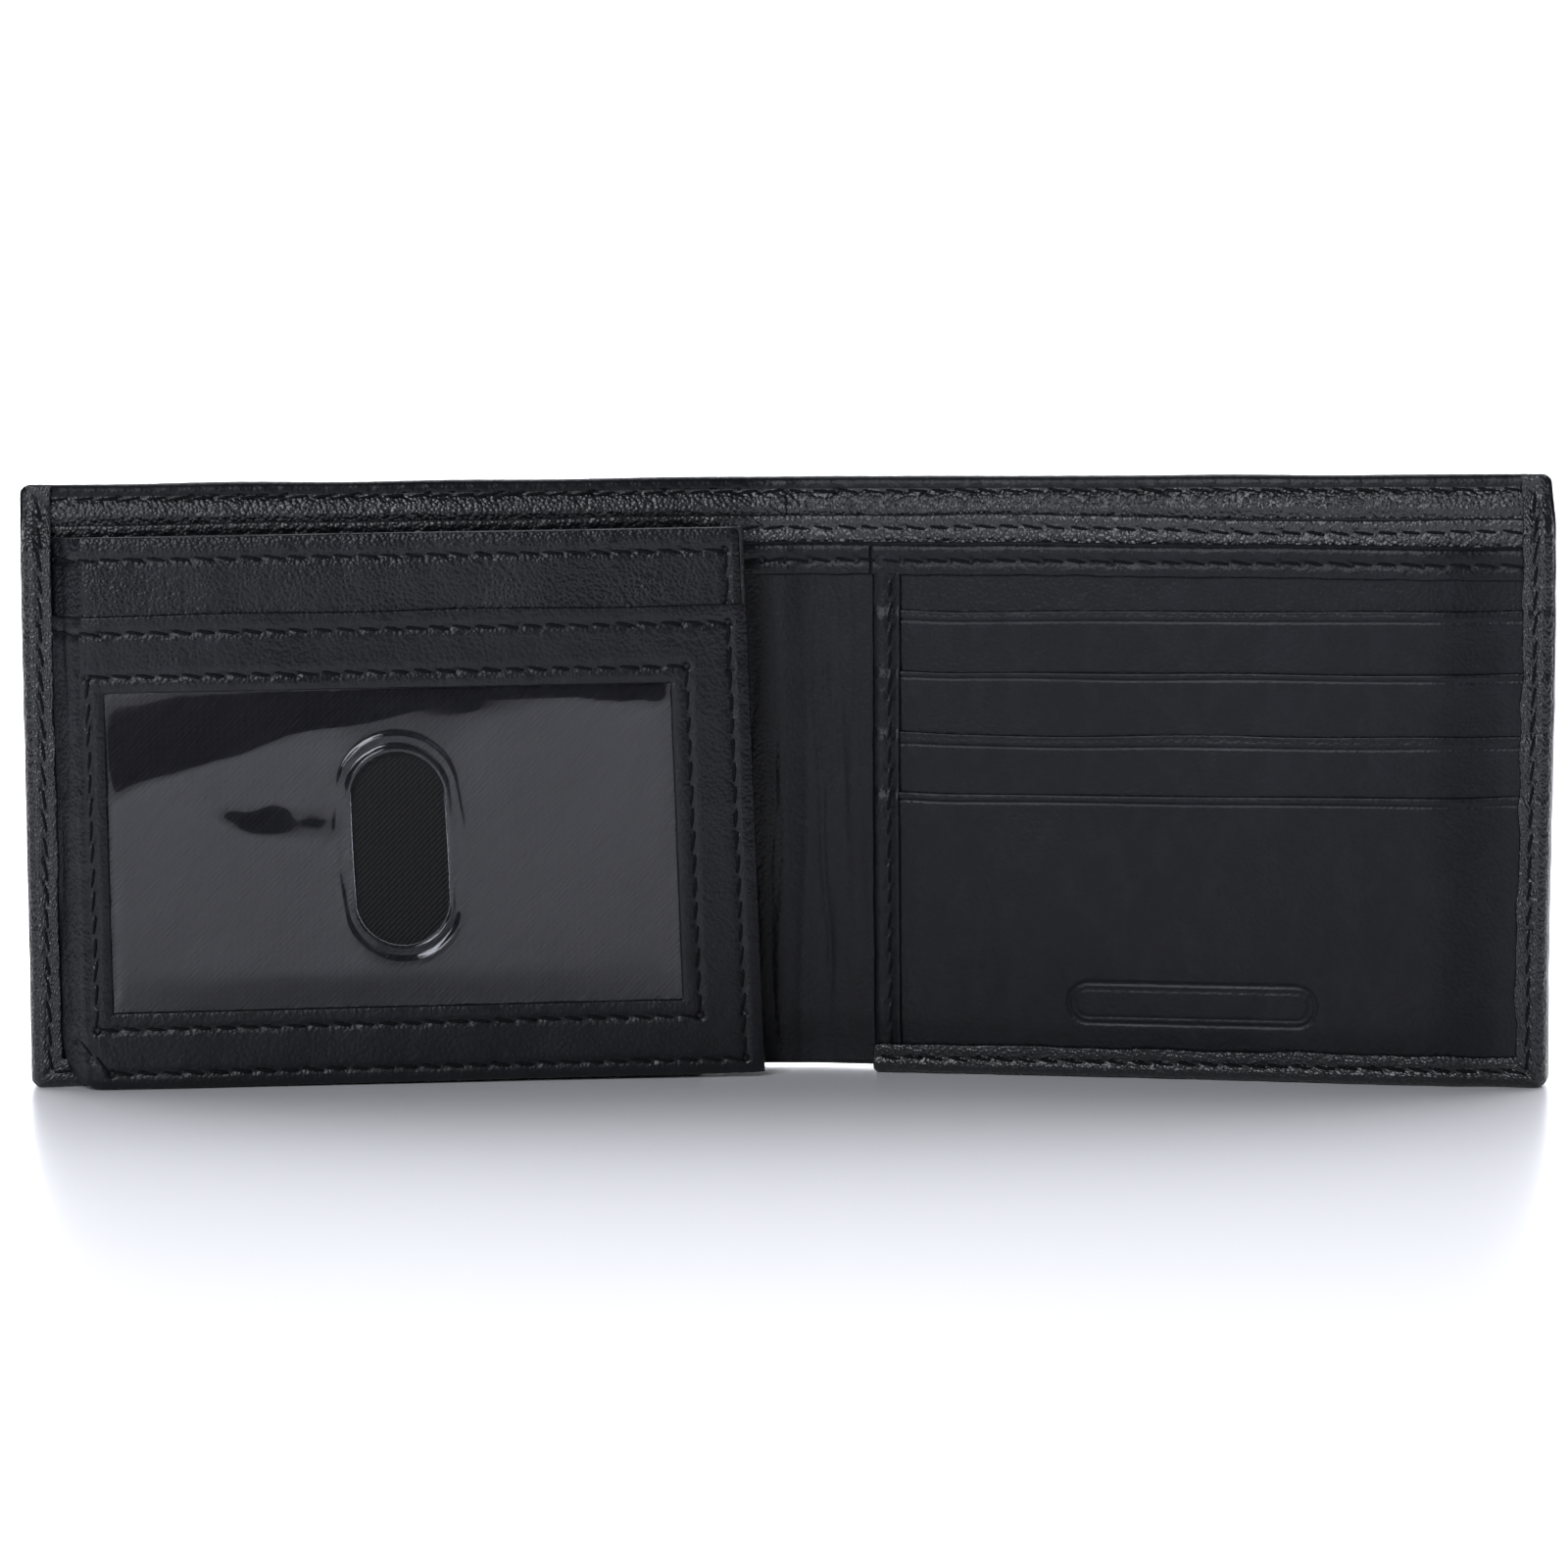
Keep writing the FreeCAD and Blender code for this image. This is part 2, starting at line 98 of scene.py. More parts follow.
EDGE = to_flat("shell_right")[1][0]
TOP = to_flat("shell_right")[1][2]
SHEET_EDGE = to_flat("inner_panel_right")[1][0]
DIVIDER_TOP = to_flat("divider_hem_right")[1][2]
DIVIDER_HEM_LOW = to_flat("divider_hem_right")[0][2]
BINDING_LOW, BINDING_TOP = to_flat("top_binding_right")[0][2], to_flat("top_binding_right")[1][2]
INNER_TOP = to_flat("inner_panel_right")[1][2]
SHEET_LOW = to_flat("inner_panel_right")[0][2]
POCKET_X = to_flat("slip_pocket_right")[0][0]
SLOT_TOPS = {
    1: [to_flat(f"card_slot_right_{i}")[1][2] for i in (1, 2, 3, 4)],
    -1: [to_flat(f"card_slot_left_{i}")[1][2] for i in (1, 2, 3)],
}
SLOT_START = to_flat("card_slot_right_1")[0][0]
SLOT_END = {1: EDGE - 4.4, -1: -to_flat("card_slot_left_1")[0][0]}
FLAP_LOW, FLAP_HIGH = to_flat("flap_back_panel", True)
FLAP_END = HINGE_U + FLAP_HIGH[0]
FLAP_Z = (FLAP_LOW[2], FLAP_HIGH[2])
FRAME_TOP = to_flat("flap_window_frame", True)[1][2]
FILM_LOW, FILM_HIGH = to_flat("flap_window_film", True)
FILM_MARGIN = 4.0
FILM_MARGIN_HINGE = 1.9
WINDOW_A = (FILM_LOW[0] + HINGE_U + FILM_MARGIN_HINGE, FILM_HIGH[0] + HINGE_U - FILM_MARGIN)
WINDOW_Z = (FILM_LOW[2] + FILM_MARGIN, FILM_HIGH[2] - FILM_MARGIN)

# ---------------------------------------------------------------- sizes of the leatherwork
BAND = 4.6  # turned edge, seen from the inside
BOTTOM_BAND = 4.3
EDGE_STITCH = 2.8  # stitch line, in from the outer edge
SIDE_STRIP = 4.4  # turned strip along the slip pocket's open edge
SIDE_STITCH = 2.8
HEM_BELOW = (1.2, 4.9, 6.3, 9.5)  # the hem's profile: distance below the top edge, and depth
HEM_T = (1.62, 2.42, 2.08, 1.9)
TOP_STITCH = 2.35
DIVIDER_STITCH = 2.0
BINDING_STITCH = 2.7
CORNER = 1.5
PITCH = 3.5  # from one needle hole to the next
BAR_X, BAR_Z, BAR_REACH = 61.5, 11.4, 15.5  # pressed outline: centre and half its straight part
SLOT_CREASES = (1.6, 1.05, 1.85, 1.25)  # pressed line, below each slot's top edge


# ---------------------------------------------------------------- small maths
def smooth(x):
    x = np.clip(x, 0, 1)
    return x * x * (3 - 2 * x)


def bump(x, centre, width):
    return np.exp(-(((x - centre) / width) ** 2))


def ripples(x, z, seed, length, height, count=9):
    """Soft random undulation: plane waves of about the given length, to the given height."""
    rng = np.random.default_rng(seed)
    total = np.zeros(np.broadcast(x, z).shape)
    for _ in range(count):
        angle, phase = rng.uniform(0, math.tau, 2)
        wave = length * rng.uniform(0.6, 1.7)
        total += np.sin(math.tau * (x * math.cos(angle) + z * math.sin(angle)) / wave + phase)
    return height * total / math.sqrt(count)


def stations(low, high, step, fine=(), ends=True):
    """Values from low to high, closer at both ends and inside each (centre, reach, step)."""
    found = list(np.linspace(low, high, max(2, round((high - low) / step) + 1)))
    if ends:
        for inset in (0.05, 0.14, 0.28, 0.5):
            found += [low + inset, high - inset]
    for centre, reach, near in fine:
        found += list(np.arange(centre - reach, centre + reach + near / 2, near))
    found = np.array(sorted(v for v in found if low <= v <= high))
    keep = np.concatenate([[True], np.diff(found) > 0.04])
    kept = found[keep]
    kept[-1] = high
    return kept


def follow(corners, step, fine=()):
    """Points along a polyline of 2-D corners, spread by arc length, and their arc lengths."""
    corners = np.array(corners, float)
    arc = np.concatenate([[0], np.cumsum(np.linalg.norm(np.diff(corners, axis=0), axis=1))])
    s = stations(0, arc[-1], step, fine)
    return np.stack([np.interp(s, arc, corners[:, k]) for k in (0, 1)], 1), s


def arc_points(centre, radius, start, end, count=12):
    """Points on a circular arc, in degrees."""
    angles = np.radians(np.linspace(start, end, count))
    return [(centre[0] + radius * math.cos(a), centre[1] + radius * math.sin(a)) for a in angles]


# ---------------------------------------------------------------- folding flat leather into place
def to_rest(x, t, z):
    """Signed flat x, t, z to the standing wallet, in the frame's millimetres."""
    side = np.where(x < 0, -1.0, 1.0)
    share = smooth(np.abs(x) / (2 * FOLD_X))
    y = BACK_Y - t
    rx, ry = turned(x, y, (side * FOLD_X, FOLD_Y), -side * math.radians(FOLD_DEG) * share)
    return np.stack([rx, ry, z], -1)


def stack(side, z):
    """Depth of the card pockets' front face at height z: it steps out at each slot."""
    total = 4.95
    for top in SLOT_TOPS[side]:
        total = total + 0.45 * smooth((top + 0.4 - z) / 1.6)
    return total


class Half:
    """One half of the wallet's body, built with x counted away from the spine."""

    def __init__(self, side, seed, swell, puff):
        self.side = side
        self.name = "left" if side < 0 else "right"
        self.seed = seed
        self.swell = swell
        self.puff = puff

    def wave(self, x, z):
        """The half's own undulation, which all its layers share."""
        fade = smooth((x - 8) / 25) * smooth((EDGE + 6 - x) / 30)
        return fade * ripples(x, z, self.seed, 52, self.swell)

    def own(self, x, z, shift, length, height):
        """Ripples of one layer, gone at the spine's centre so that the halves meet."""
        return smooth(np.abs(x) / 9) * ripples(x, z, self.seed + shift, length, height)

    def press(self, x, z):
        """Layers lie closer together near the sewn edges."""
        side = smooth((x - 96) / 12)
        bottom = smooth((9 - z) / 7)
        pocket = bump(x, POCKET_X + 1.5, 3.5)
        return 1 - 0.2 * side - 0.1 * bottom * (1 - side) - 0.05 * pocket

    def place(self, p):
        x, t, z = p[..., 0], p[..., 1], p[..., 2]
        t = t * self.press(x, z) + self.wave(x, z)
        puffed = smooth((x - 101) / 10) * smooth((TOP + 1 - z) / 10) * (1 - smooth((72 - z) / 60))
        return to_rest(self.side * (x + self.puff * puffed), t, z)


class Flap:
    """The fold-out flap, built with x counted from its hinge towards the spine."""

    side = -1

    def place(self, p):
        a, t, z = p[..., 0], p[..., 1], p[..., 2]
        away = smooth((a - 3) / 20)
        t = t + away * ripples(a, z, 31, 60, 0.22) + away * 0.25 * bump(a, 60, 40) * bump(z, 30, 30)
        lean = smooth((a + 3) / 6) * (0.008 + 0.00022 * a)
        x = a * 0.992 - HINGE_U - lean * (z - 41)
        z = z + smooth((a + 3) / 6) * (-0.45 + 0.0052 * a)
        share = smooth((a + 1) / 6)
        y = BACK_Y - t
        x, y = turned(x, y, HINGE, -math.radians(FLAP_DEG) * share)
        x, y = turned(x, y, (-FOLD_X, FOLD_Y), math.radians(FOLD_DEG))
        return np.stack([x, y, z], -1)


RIGHT = Half(1, 11, 0.2, 0.8)
LEFT = Half(-1, 12, 0.1, 0.1)
FLAP = Flap()


# ---------------------------------------------------------------- meshes
def edge_round(lengths, radius, low, high):
    """0 to 1 share of full thickness, falling along a quarter circle at the chosen ends."""
    share = np.ones(len(lengths))
    for chosen, inward in ((low, lengths - lengths[0]), (high, lengths[-1] - lengths)):
        if chosen:
            share = share * np.sqrt(1 - (1 - np.clip(inward / radius, 0, 1)) ** 2)
    return np.maximum(share, 0.1)


def outward(grid):
    """Unit normals of a grid of points, from its two directions."""
    across, along = np.gradient(grid, axis=0), np.gradient(grid, axis=1)
    normal = np.cross(across, along)
    return normal / np.maximum(np.linalg.norm(normal, axis=2, keepdims=True), 1e-9)


def grid_faces(index):
    """Quads over a 2-D array of vertex numbers."""
    near, far = index[:-1], index[1:]
    return np.stack([near[:, :-1], far[:, :-1], far[:, 1:], near[:, 1:]], -1).reshape(-1, 4)


def make_mesh(name, points, faces, uv, values, material, smooth_material=None):
    """A closed smooth mesh object in metres, facing outwards, with its UV and grain values.

    smooth_material, if there is one, takes the faces of little grain.
    """
    points = np.asarray(points, float) * MM
    p, q, r, s = (points[faces[:, k]] for k in range(4))
    volume = (p * (np.cross(q, r) + np.cross(r, s))).sum()
    if volume < 0:
        faces = faces[:, ::-1]
    mesh = bpy.data.meshes.new(name)
    mesh.vertices.add(len(points))
    mesh.vertices.foreach_set("co", points.astype(np.float32).ravel())
    mesh.loops.add(faces.size)
    mesh.loops.foreach_set("vertex_index", faces.astype(np.int32).ravel())
    mesh.polygons.add(len(faces))
    mesh.polygons.foreach_set("loop_start", np.arange(0, faces.size, 4, dtype=np.int32))
    mesh.polygons.foreach_set("use_smooth", np.ones(len(faces), bool))
    mesh.update(calc_edges=True)
    layer = mesh.uv_layers.new(name="UVMap")
    layer.data.foreach_set("uv", (uv[faces.ravel()] * 0.01).astype(np.float32).ravel())
    grain = mesh.attributes.new("grain", "FLOAT", "POINT")
    grain.data.foreach_set("value", values.astype(np.float32))
    at_centre = np.abs(points[:, 0]) < 1e-7
    ends = np.empty(len(mesh.edges) * 2, np.int32)
    mesh.edges.foreach_get("vertices", ends)
    sharp = mesh.attributes.new("sharp_edge", "BOOLEAN", "EDGE")
    sharp.data.foreach_set("value", at_centre[ends.reshape(-1, 2)].all(1))
    mesh.materials.append(material)
    if smooth_material:
        mesh.materials.append(smooth_material)
        little = values[faces].mean(1) < 0.6
        mesh.polygons.foreach_set("material_index", little.astype(np.int32))
    made = bpy.data.objects.new(name, mesh)
    bpy.context.scene.collection.objects.link(made)
    return made


def leaf(name, part, grid, thickness, material, lift=0.0, rounded=(1, 1, 1, 1), radius=0.3,
         toward=(0, 1, 0), grain=0.5, hole=None, ring=False, smooth_material=None):
    """A closed sheet about a grid of flat points, with rounded edges.

    lift raises the side that faces `toward`. hole is a mask of cells left out. In a ring, the last
    column of the grid is the first one again.
    """
    rows, cols = grid.shape[:2]
    half = np.broadcast_to(np.asarray(thickness, float) / 2, (rows, cols)).copy()
    step_i = np.linalg.norm(np.diff(grid, axis=0), axis=2)
    step_j = np.linalg.norm(np.diff(grid, axis=1), axis=2)
    along_i = np.concatenate([[0], np.cumsum(step_i.max(1))])
    along_j = np.concatenate([[0], np.cumsum(step_j.max(0))])
    half *= edge_round(along_i, radius, rounded[0], rounded[1])[:, None]
    half *= edge_round(along_j, radius, rounded[2], rounded[3])[None, :]
    normal = outward(grid)
    if (normal.reshape(-1, 3) @ np.array(toward, float)).sum() < 0:
        normal = -normal
    front = grid + normal * (half + lift)[..., None]
    back = grid - normal * half[..., None]
    count = rows * cols
    index = np.arange(count).reshape(rows, cols)
    if ring:
        index[:, -1] = index[:, 0]
    cells = np.ones((rows - 1, cols - 1), bool) if hole is None else ~hole
    top = grid_faces(index)[cells.ravel()]
    faces = np.concatenate([top, top[:, ::-1] + count, rim_faces(cells, index, count, ring)])
    points = np.concatenate([front.reshape(-1, 3), back.reshape(-1, 3)])
    if ring:
        flat_uv = grid[..., [0, 2]].reshape(-1, 2)
    else:
        flat_uv = np.stack(np.broadcast_arrays(along_i[:, None], along_j[None, :]), -1).reshape(-1, 2)
    flat_uv = flat_uv * (part.side, 1)
    offset = np.array([37.0, 113.0]) * (1 + len(name.replace("left", "right")) % 5)
    uv = np.concatenate([flat_uv, flat_uv + (211.0, 57.0)]) + offset
    grains = np.broadcast_to(np.asarray(grain, float), (rows, cols)).ravel()
    used = np.unique(faces)
    renumber = np.zeros(2 * count, int)
    renumber[used] = np.arange(len(used))
    values = np.concatenate([grains, grains])[used]
    return make_mesh(name, part.place(points[used]), renumber[faces], uv[used], values, material,
                     smooth_material)


def rim_faces(cells, index, count, ring):
    """Quads that join front to back wherever a cell borders on nothing."""
    padded = np.pad(cells, 1)
    ways = [(-1, 0, (0, 0), (0, 1)), (1, 0, (1, 1), (1, 0))]
    if not ring:
        ways += [(0, -1, (1, 0), (0, 0)), (0, 1, (0, 1), (1, 1))]
    rim = []
    for di, dj, first, second in ways:
        open_side = cells & ~padded[1 + di:1 + di + cells.shape[0], 1 + dj:1 + dj + cells.shape[1]]
        i, j = np.nonzero(open_side)
        a = index[i + first[0], j + first[1]]
        b = index[i + second[0], j + second[1]]
        rim.append(np.stack([a, b, b + count, a + count], 1))
    return np.concatenate(rim)


def flat_grid(xs, zs, t):
    """Grid over x and z, at depth t, a number or a function of x and z."""
    x, z = np.meshgrid(xs, zs, indexing="ij")
    depth = t(x, z) if callable(t) else np.full(x.shape, float(t))
    return np.stack([x, depth, z], -1)


def swept(xs, path):
    """Grid of a t, z path carried along x."""
    x = np.repeat(np.asarray(xs)[:, None], len(path), 1)
    t = np.repeat(path[None, :, 0], len(xs), 0)
    z = np.repeat(path[None, :, 1], len(xs), 0)
    return np.stack([x, t, z], -1)


# ---------------------------------------------------------------- stitches
def row_frame(row):
    (x0, z0), (x1, z1) = row
    length = math.hypot(x1 - x0, z1 - z0)
    count = max(1, round(length / PITCH))
    return length, count, (x1 - x0) / length, (z1 - z0) / length


def dents(x, z, rows, depth=0.3, pull=0.1):
    """Needle holes, the pulled-down seam between them, and the puckers beside it."""
    total = np.zeros(np.broadcast(x, z).shape)
    for row in rows:
        length, count, ex, ez = row_frame(row)
        along = (x - row[0][0]) * ex + (z - row[0][1]) * ez
        beside = (z - row[0][1]) * ex - (x - row[0][0]) * ez
        near = smooth((along + 1.2) / 1.2) * smooth((length + 1.2 - along) / 1.2)
        pitch = length / count
        hole = (along / pitch + 0.5) % 1 - 0.5
        uneven = 1 + 0.35 * np.sin(along * 1.7 + row[0][1]) * np.sin(along * 0.61)
        pit = np.exp(-((hole * pitch) ** 2 + beside**2) / 0.42**2)
        seam = bump(beside, 0, 0.7)
        pucker = bump(np.abs(beside), 1.15, 0.55) * (0.5 + 0.5 * np.cos(math.tau * hole))
        total += near * uneven * (0.07 * pucker - depth * pit - pull * seam)
    return total


def threads(name, part, rows, surface, facing=1, slant=0.2, width=0.42):
    """Stitches as short bowed threads that dive into the leather at both ends, in one mesh."""
    rng = np.random.default_rng(len(name) * 7)
    around = 8
    steps = np.linspace(-1, 1, 11)
    angle = np.linspace(0, math.tau, around, endpoint=False)
    grid_index = np.arange(len(steps) * around).reshape(len(steps), around)
    closed = np.concatenate([grid_index, grid_index[:, :2]], 1)
    side = grid_faces(closed[:, :-1])
    even = np.arange(0, around, 2)
    tips = np.full(len(even), len(steps) * around)
    caps = [np.stack([tips, closed[0, even], closed[0, even + 1], closed[0, even + 2]], 1),
            np.stack([tips + 1, closed[-1, even + 2], closed[-1, even + 1], closed[-1, even]], 1)]
    one = np.concatenate([side, *caps])
    points, faces, uv = [], [], []
    for row in rows:
        length, count, ex, ez = row_frame(row)
        pitch = length / count
        for k in range(count):
            reach = 0.43 * pitch * rng.uniform(0.93, 1.04)
            along = (k + 0.5) * pitch + steps * reach
            beside = -slant * rng.uniform(0.6, 1.4) * steps + rng.uniform(-0.05, 0.05)
            x = row[0][0] + along * ex - beside * ez
            z = row[0][1] + along * ez + beside * ex
            base = surface(x, z)
            rise = 0.05 - 0.36 * np.abs(steps) ** 3.2
            size = width / 2 * (1 - 0.4 * steps**4)
            out = rise[:, None] + 0.75 * size[:, None] * np.sin(angle)
            wide = size[:, None] * np.cos(angle)
            ring = np.stack([x[:, None] - wide * ez, base[:, None] + facing * out,
                             z[:, None] + wide * ex], -1)
            ends = np.stack([x, base + facing * (rise - 0.05), z], 1)[[0, -1]]
            faces.append(one + sum(len(p) for p in points))
            points.append(np.concatenate([ring.reshape(-1, 3), ends]))
            turn = np.repeat(angle[None, :] * size.max(), len(steps), 0).ravel()
            run = np.repeat(along, around)
            uv.append(np.stack([np.append(run, along[[0, -1]]), np.append(turn, [0, 0])], 1))
    points, faces, uv = np.concatenate(points), np.concatenate(faces), np.concatenate(uv)
    made = make_mesh(name, part.place(points), faces, uv, np.zeros(len(points)), THREAD)
    return made


# ---------------------------------------------------------------- materials
def new_material(name):
    material = bpy.data.materials.new(name)
    material.use_nodes = True
    tree = material.node_tree
    return material, tree, tree.nodes["Principled BSDF"]


def add_node(tree, kind, inputs=(), **settings):
    node = tree.nodes.new(kind)
    if "Scale" in node.inputs and kind.startswith("ShaderNodeTex"):
        node.inputs["Scale"].default_value = 1.0
    for key, value in settings.items():
        setattr(node, key, value)
    for key, value in dict(inputs).items():
        if isinstance(value, bpy.types.NodeSocket):
            tree.links.new(value, node.inputs[key])
        else:
            node.inputs[key].default_value = value
    return node


def set_inputs(node, **values):
    """Plain values of a node's sockets; an underscore stands for a space in a socket's name."""
    for key, value in values.items():
        node.inputs[key.replace("_", " ")].default_value = value


def uv_at(tree, scale, stretch=(1, 1, 1)):
    coordinates = add_node(tree, "ShaderNodeUVMap", uv_map="UVMap")
    scaled = add_node(tree, "ShaderNodeMapping", {"Vector": coordinates.outputs[0],
                                                  "Scale": [scale * k for k in stretch]})
    return scaled.outputs[0]


def ramp(tree, value, low, high, low_to=0.0, high_to=1.0):
    node = add_node(tree, "ShaderNodeMapRange", {"Value": value})
    set_inputs(node, From_Min=low, From_Max=high, To_Min=low_to, To_Max=high_to)
    return node.outputs[0]


def noise(tree, scale, detail, stretch=(1, 1, 1), **more):
    """Noise on the UV map, scale to the map's unit."""
    node = add_node(tree, "ShaderNodeTexNoise", {"Vector": uv_at(tree, scale, stretch)})
    set_inputs(node, Detail=detail, **more)
    return node.outputs[0]


def relief(tree, shader, *layers, under=None):
    """Bumps laid one on the other, each given as (height, distance, strength)."""
    for height, distance, strength in layers:
        settings = {"Height": height, "Distance": distance, "Strength": strength}
        if under:
            settings["Normal"] = under
        under = add_node(tree, "ShaderNodeBump", settings).outputs[0]
    tree.links.new(under, shader.inputs["Normal"])


def shaded(tree, shader, factor, low, high):
    """Base colour that goes from low to high with the factor."""
    shade = add_node(tree, "ShaderNodeMix", data_type="RGBA")
    set_inputs(shade, A=(*low, 1), B=(*high, 1))
    tree.links.new(factor, shade.inputs["Factor"])
    tree.links.new(shade.outputs["Result"], shader.inputs["Base Color"])


def leather_material(name, colour, roughness, gloss):
    """Black leather: pores, pebbled cells as the grain value says, faint creases with painted shade in
    their hollows, worn patches.
    """
    material, tree, shader = new_material(name)
    pebble = add_node(tree, "ShaderNodeTexVoronoi", {"Vector": uv_at(tree, 175), "Randomness": 1.0},
                      feature="SMOOTH_F1")
    set_inputs(pebble, Smoothness=0.25)
    pores = noise(tree, 620, 3.0)
    creases = noise(tree, 26, 4.0, (1, 0.6, 1), Roughness=0.62, Distortion=0.6)
    patches = noise(tree, 5, 3.0)
    amount = add_node(tree, "ShaderNodeAttribute", attribute_name="grain").outputs["Fac"]
    strength = ramp(tree, amount, 0.2, 1, 0.12, 1.0)
    first = add_node(tree, "ShaderNodeBump", {"Height": pebble.outputs["Distance"], "Distance": 0.0002,
                                              "Strength": strength}, invert=True)
    relief(tree, shader, (creases, 0.0003, 0.2), (pores, 0.00004, 0.1), under=first.outputs[0])
    tree.links.new(ramp(tree, patches, 0.3, 0.7, roughness - 0.06, roughness + 0.08),
                   shader.inputs["Roughness"])
    # painted shade: base colour darker in the hollows of the crease relief, lighter on its ridges
    shaded(tree, shader, ramp(tree, creases, 0.45, 0.75), colour, [c * 1.9 for c in colour])
    set_inputs(shader, Specular_IOR_Level=gloss)
    return material


def fabric_material(name, colour, scale, roughness=0.8, gloss=0.5, sheen=0.15):
    """Woven lining: fine diagonal rows of threads."""
    material, tree, shader = new_material(name)
    rows = add_node(tree, "ShaderNodeTexWave", {"Vector": uv_at(tree, scale), "Distortion": 0.3},
                    bands_direction="DIAGONAL")
    dots = add_node(tree, "ShaderNodeTexVoronoi", {"Vector": uv_at(tree, scale * 1.3),
                                                   "Randomness": 0.15})
    fuzz = noise(tree, 300, 2.0)
    height = add_node(tree, "ShaderNodeMath", {0: rows.outputs["Fac"], 1: dots.outputs["Distance"]},
                      operation="SUBTRACT")
    relief(tree, shader, (height.outputs[0], 0.0001, 0.7))
    mixed = add_node(tree, "ShaderNodeMath", {0: height.outputs[0], 1: fuzz}, operation="MULTIPLY")
    shaded(tree, shader, ramp(tree, mixed.outputs[0], 0.0, 0.5), [c * 0.6 for c in colour],
           [c * 1.7 for c in colour])
    set_inputs(shader, Roughness=roughness, Specular_IOR_Level=gloss, Sheen_Weight=sheen)
    return material


def thread_material():
    """Twisted black thread."""
    material, tree, shader = new_material("thread")
    twist = add_node(tree, "ShaderNodeTexWave", {"Vector": uv_at(tree, 110)},
                     bands_direction="DIAGONAL")
    relief(tree, shader, (twist.outputs["Fac"], 0.00008, 0.8))
    shaded(tree, shader, twist.outputs["Fac"], (0.002, 0.002, 0.003), (0.009, 0.009, 0.011))
    set_inputs(shader, Roughness=0.75, Specular_IOR_Level=0.15)
    return material


def film_material():
    """Clear flexible film, a little scuffed."""
    material, tree, shader = new_material("clear_film")
    haze = noise(tree, 9, 4.0)
    relief(tree, shader, (noise(tree, 12, 0.0), 0.0006, 0.07))
    tree.links.new(ramp(tree, haze, 0.35, 0.7, 0.02, 0.09), shader.inputs["Roughness"])
    set_inputs(shader, Base_Color=(0.93, 0.94, 1.0, 1), Transmission_Weight=1.0, IOR=1.4,
               Specular_IOR_Level=0.45)
    return material


BLACK = (0.0036, 0.0038, 0.006)
PEBBLED = leather_material("pebbled_leather", BLACK, 0.33, 0.62)
OUTER = leather_material("outer_leather", (0.0034, 0.0036, 0.0055), 0.37, 0.24)
LEATHER = leather_material("leather", BLACK, 0.34, 0.33)
SKIVED = leather_material("skived_leather", BLACK, 0.36, 0.22)
LINING = fabric_material("lining_fabric", (0.012, 0.012, 0.013), 90)
WINDOW_LINING = fabric_material("window_lining", (0.005, 0.005, 0.0065), 75, 0.6, 0.22, 0.05)
THREAD = thread_material()
FILM = film_material()


def crosses_fold(piece, side):
    """The piece reaches between its half and the spine: its placement is baked into its mesh, the same
    on either side.
    """
    if side < 0:
        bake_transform(piece)
    else:
        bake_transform(piece)
    return piece


def on_half(piece, side):
    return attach(piece, "left_half" if side < 0 else "right_half")


def crosses_hinge(piece):
    """The piece reaches between the left half and the flap: its placement is baked into its mesh."""
    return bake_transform(piece)


# ---------------------------------------------------------------- shell
def round_corners(grid):
    """Rounds the outer corners of a half, top and bottom."""
    out = grid.copy()
    x, z = grid[..., 0], grid[..., 2]
    for edge_z, sign in ((0.0, -1.0), (TOP, 1.0)):
        dx = x - (EDGE - CORNER)
        dz = sign * (z - (edge_z - sign * CORNER))
        inside = (dx > 0) & (dz > 0)
        reach = np.maximum(dx, dz)
        scale = np.where(inside, reach / np.maximum(np.hypot(dx, dz), 1e-6), 1.0)
        out[..., 0] = np.where(inside, EDGE - CORNER + dx * scale, out[..., 0])
        out[..., 2] = np.where(inside, edge_z - sign * CORNER + sign * dz * scale, out[..., 2])
    return out


def edge_rows(side):
    """Stitch lines along the outer edge and the bottom of a half."""
    x, low = EDGE - EDGE_STITCH, 2.5
    return [((x, TOP - 2.6), (x, low)), ((x - 0.3, low), (POCKET_X + 1.0, low))]


def top_row():
    return [((0.0, TOP - TOP_STITCH), (EDGE - BAND + 0.6, TOP - TOP_STITCH))]


def hem_depth_at(z):
    """Depth of the hem's front face, which slopes outwards from the fold."""
    return np.interp(TOP - z, HEM_BELOW, HEM_T) + 0.39


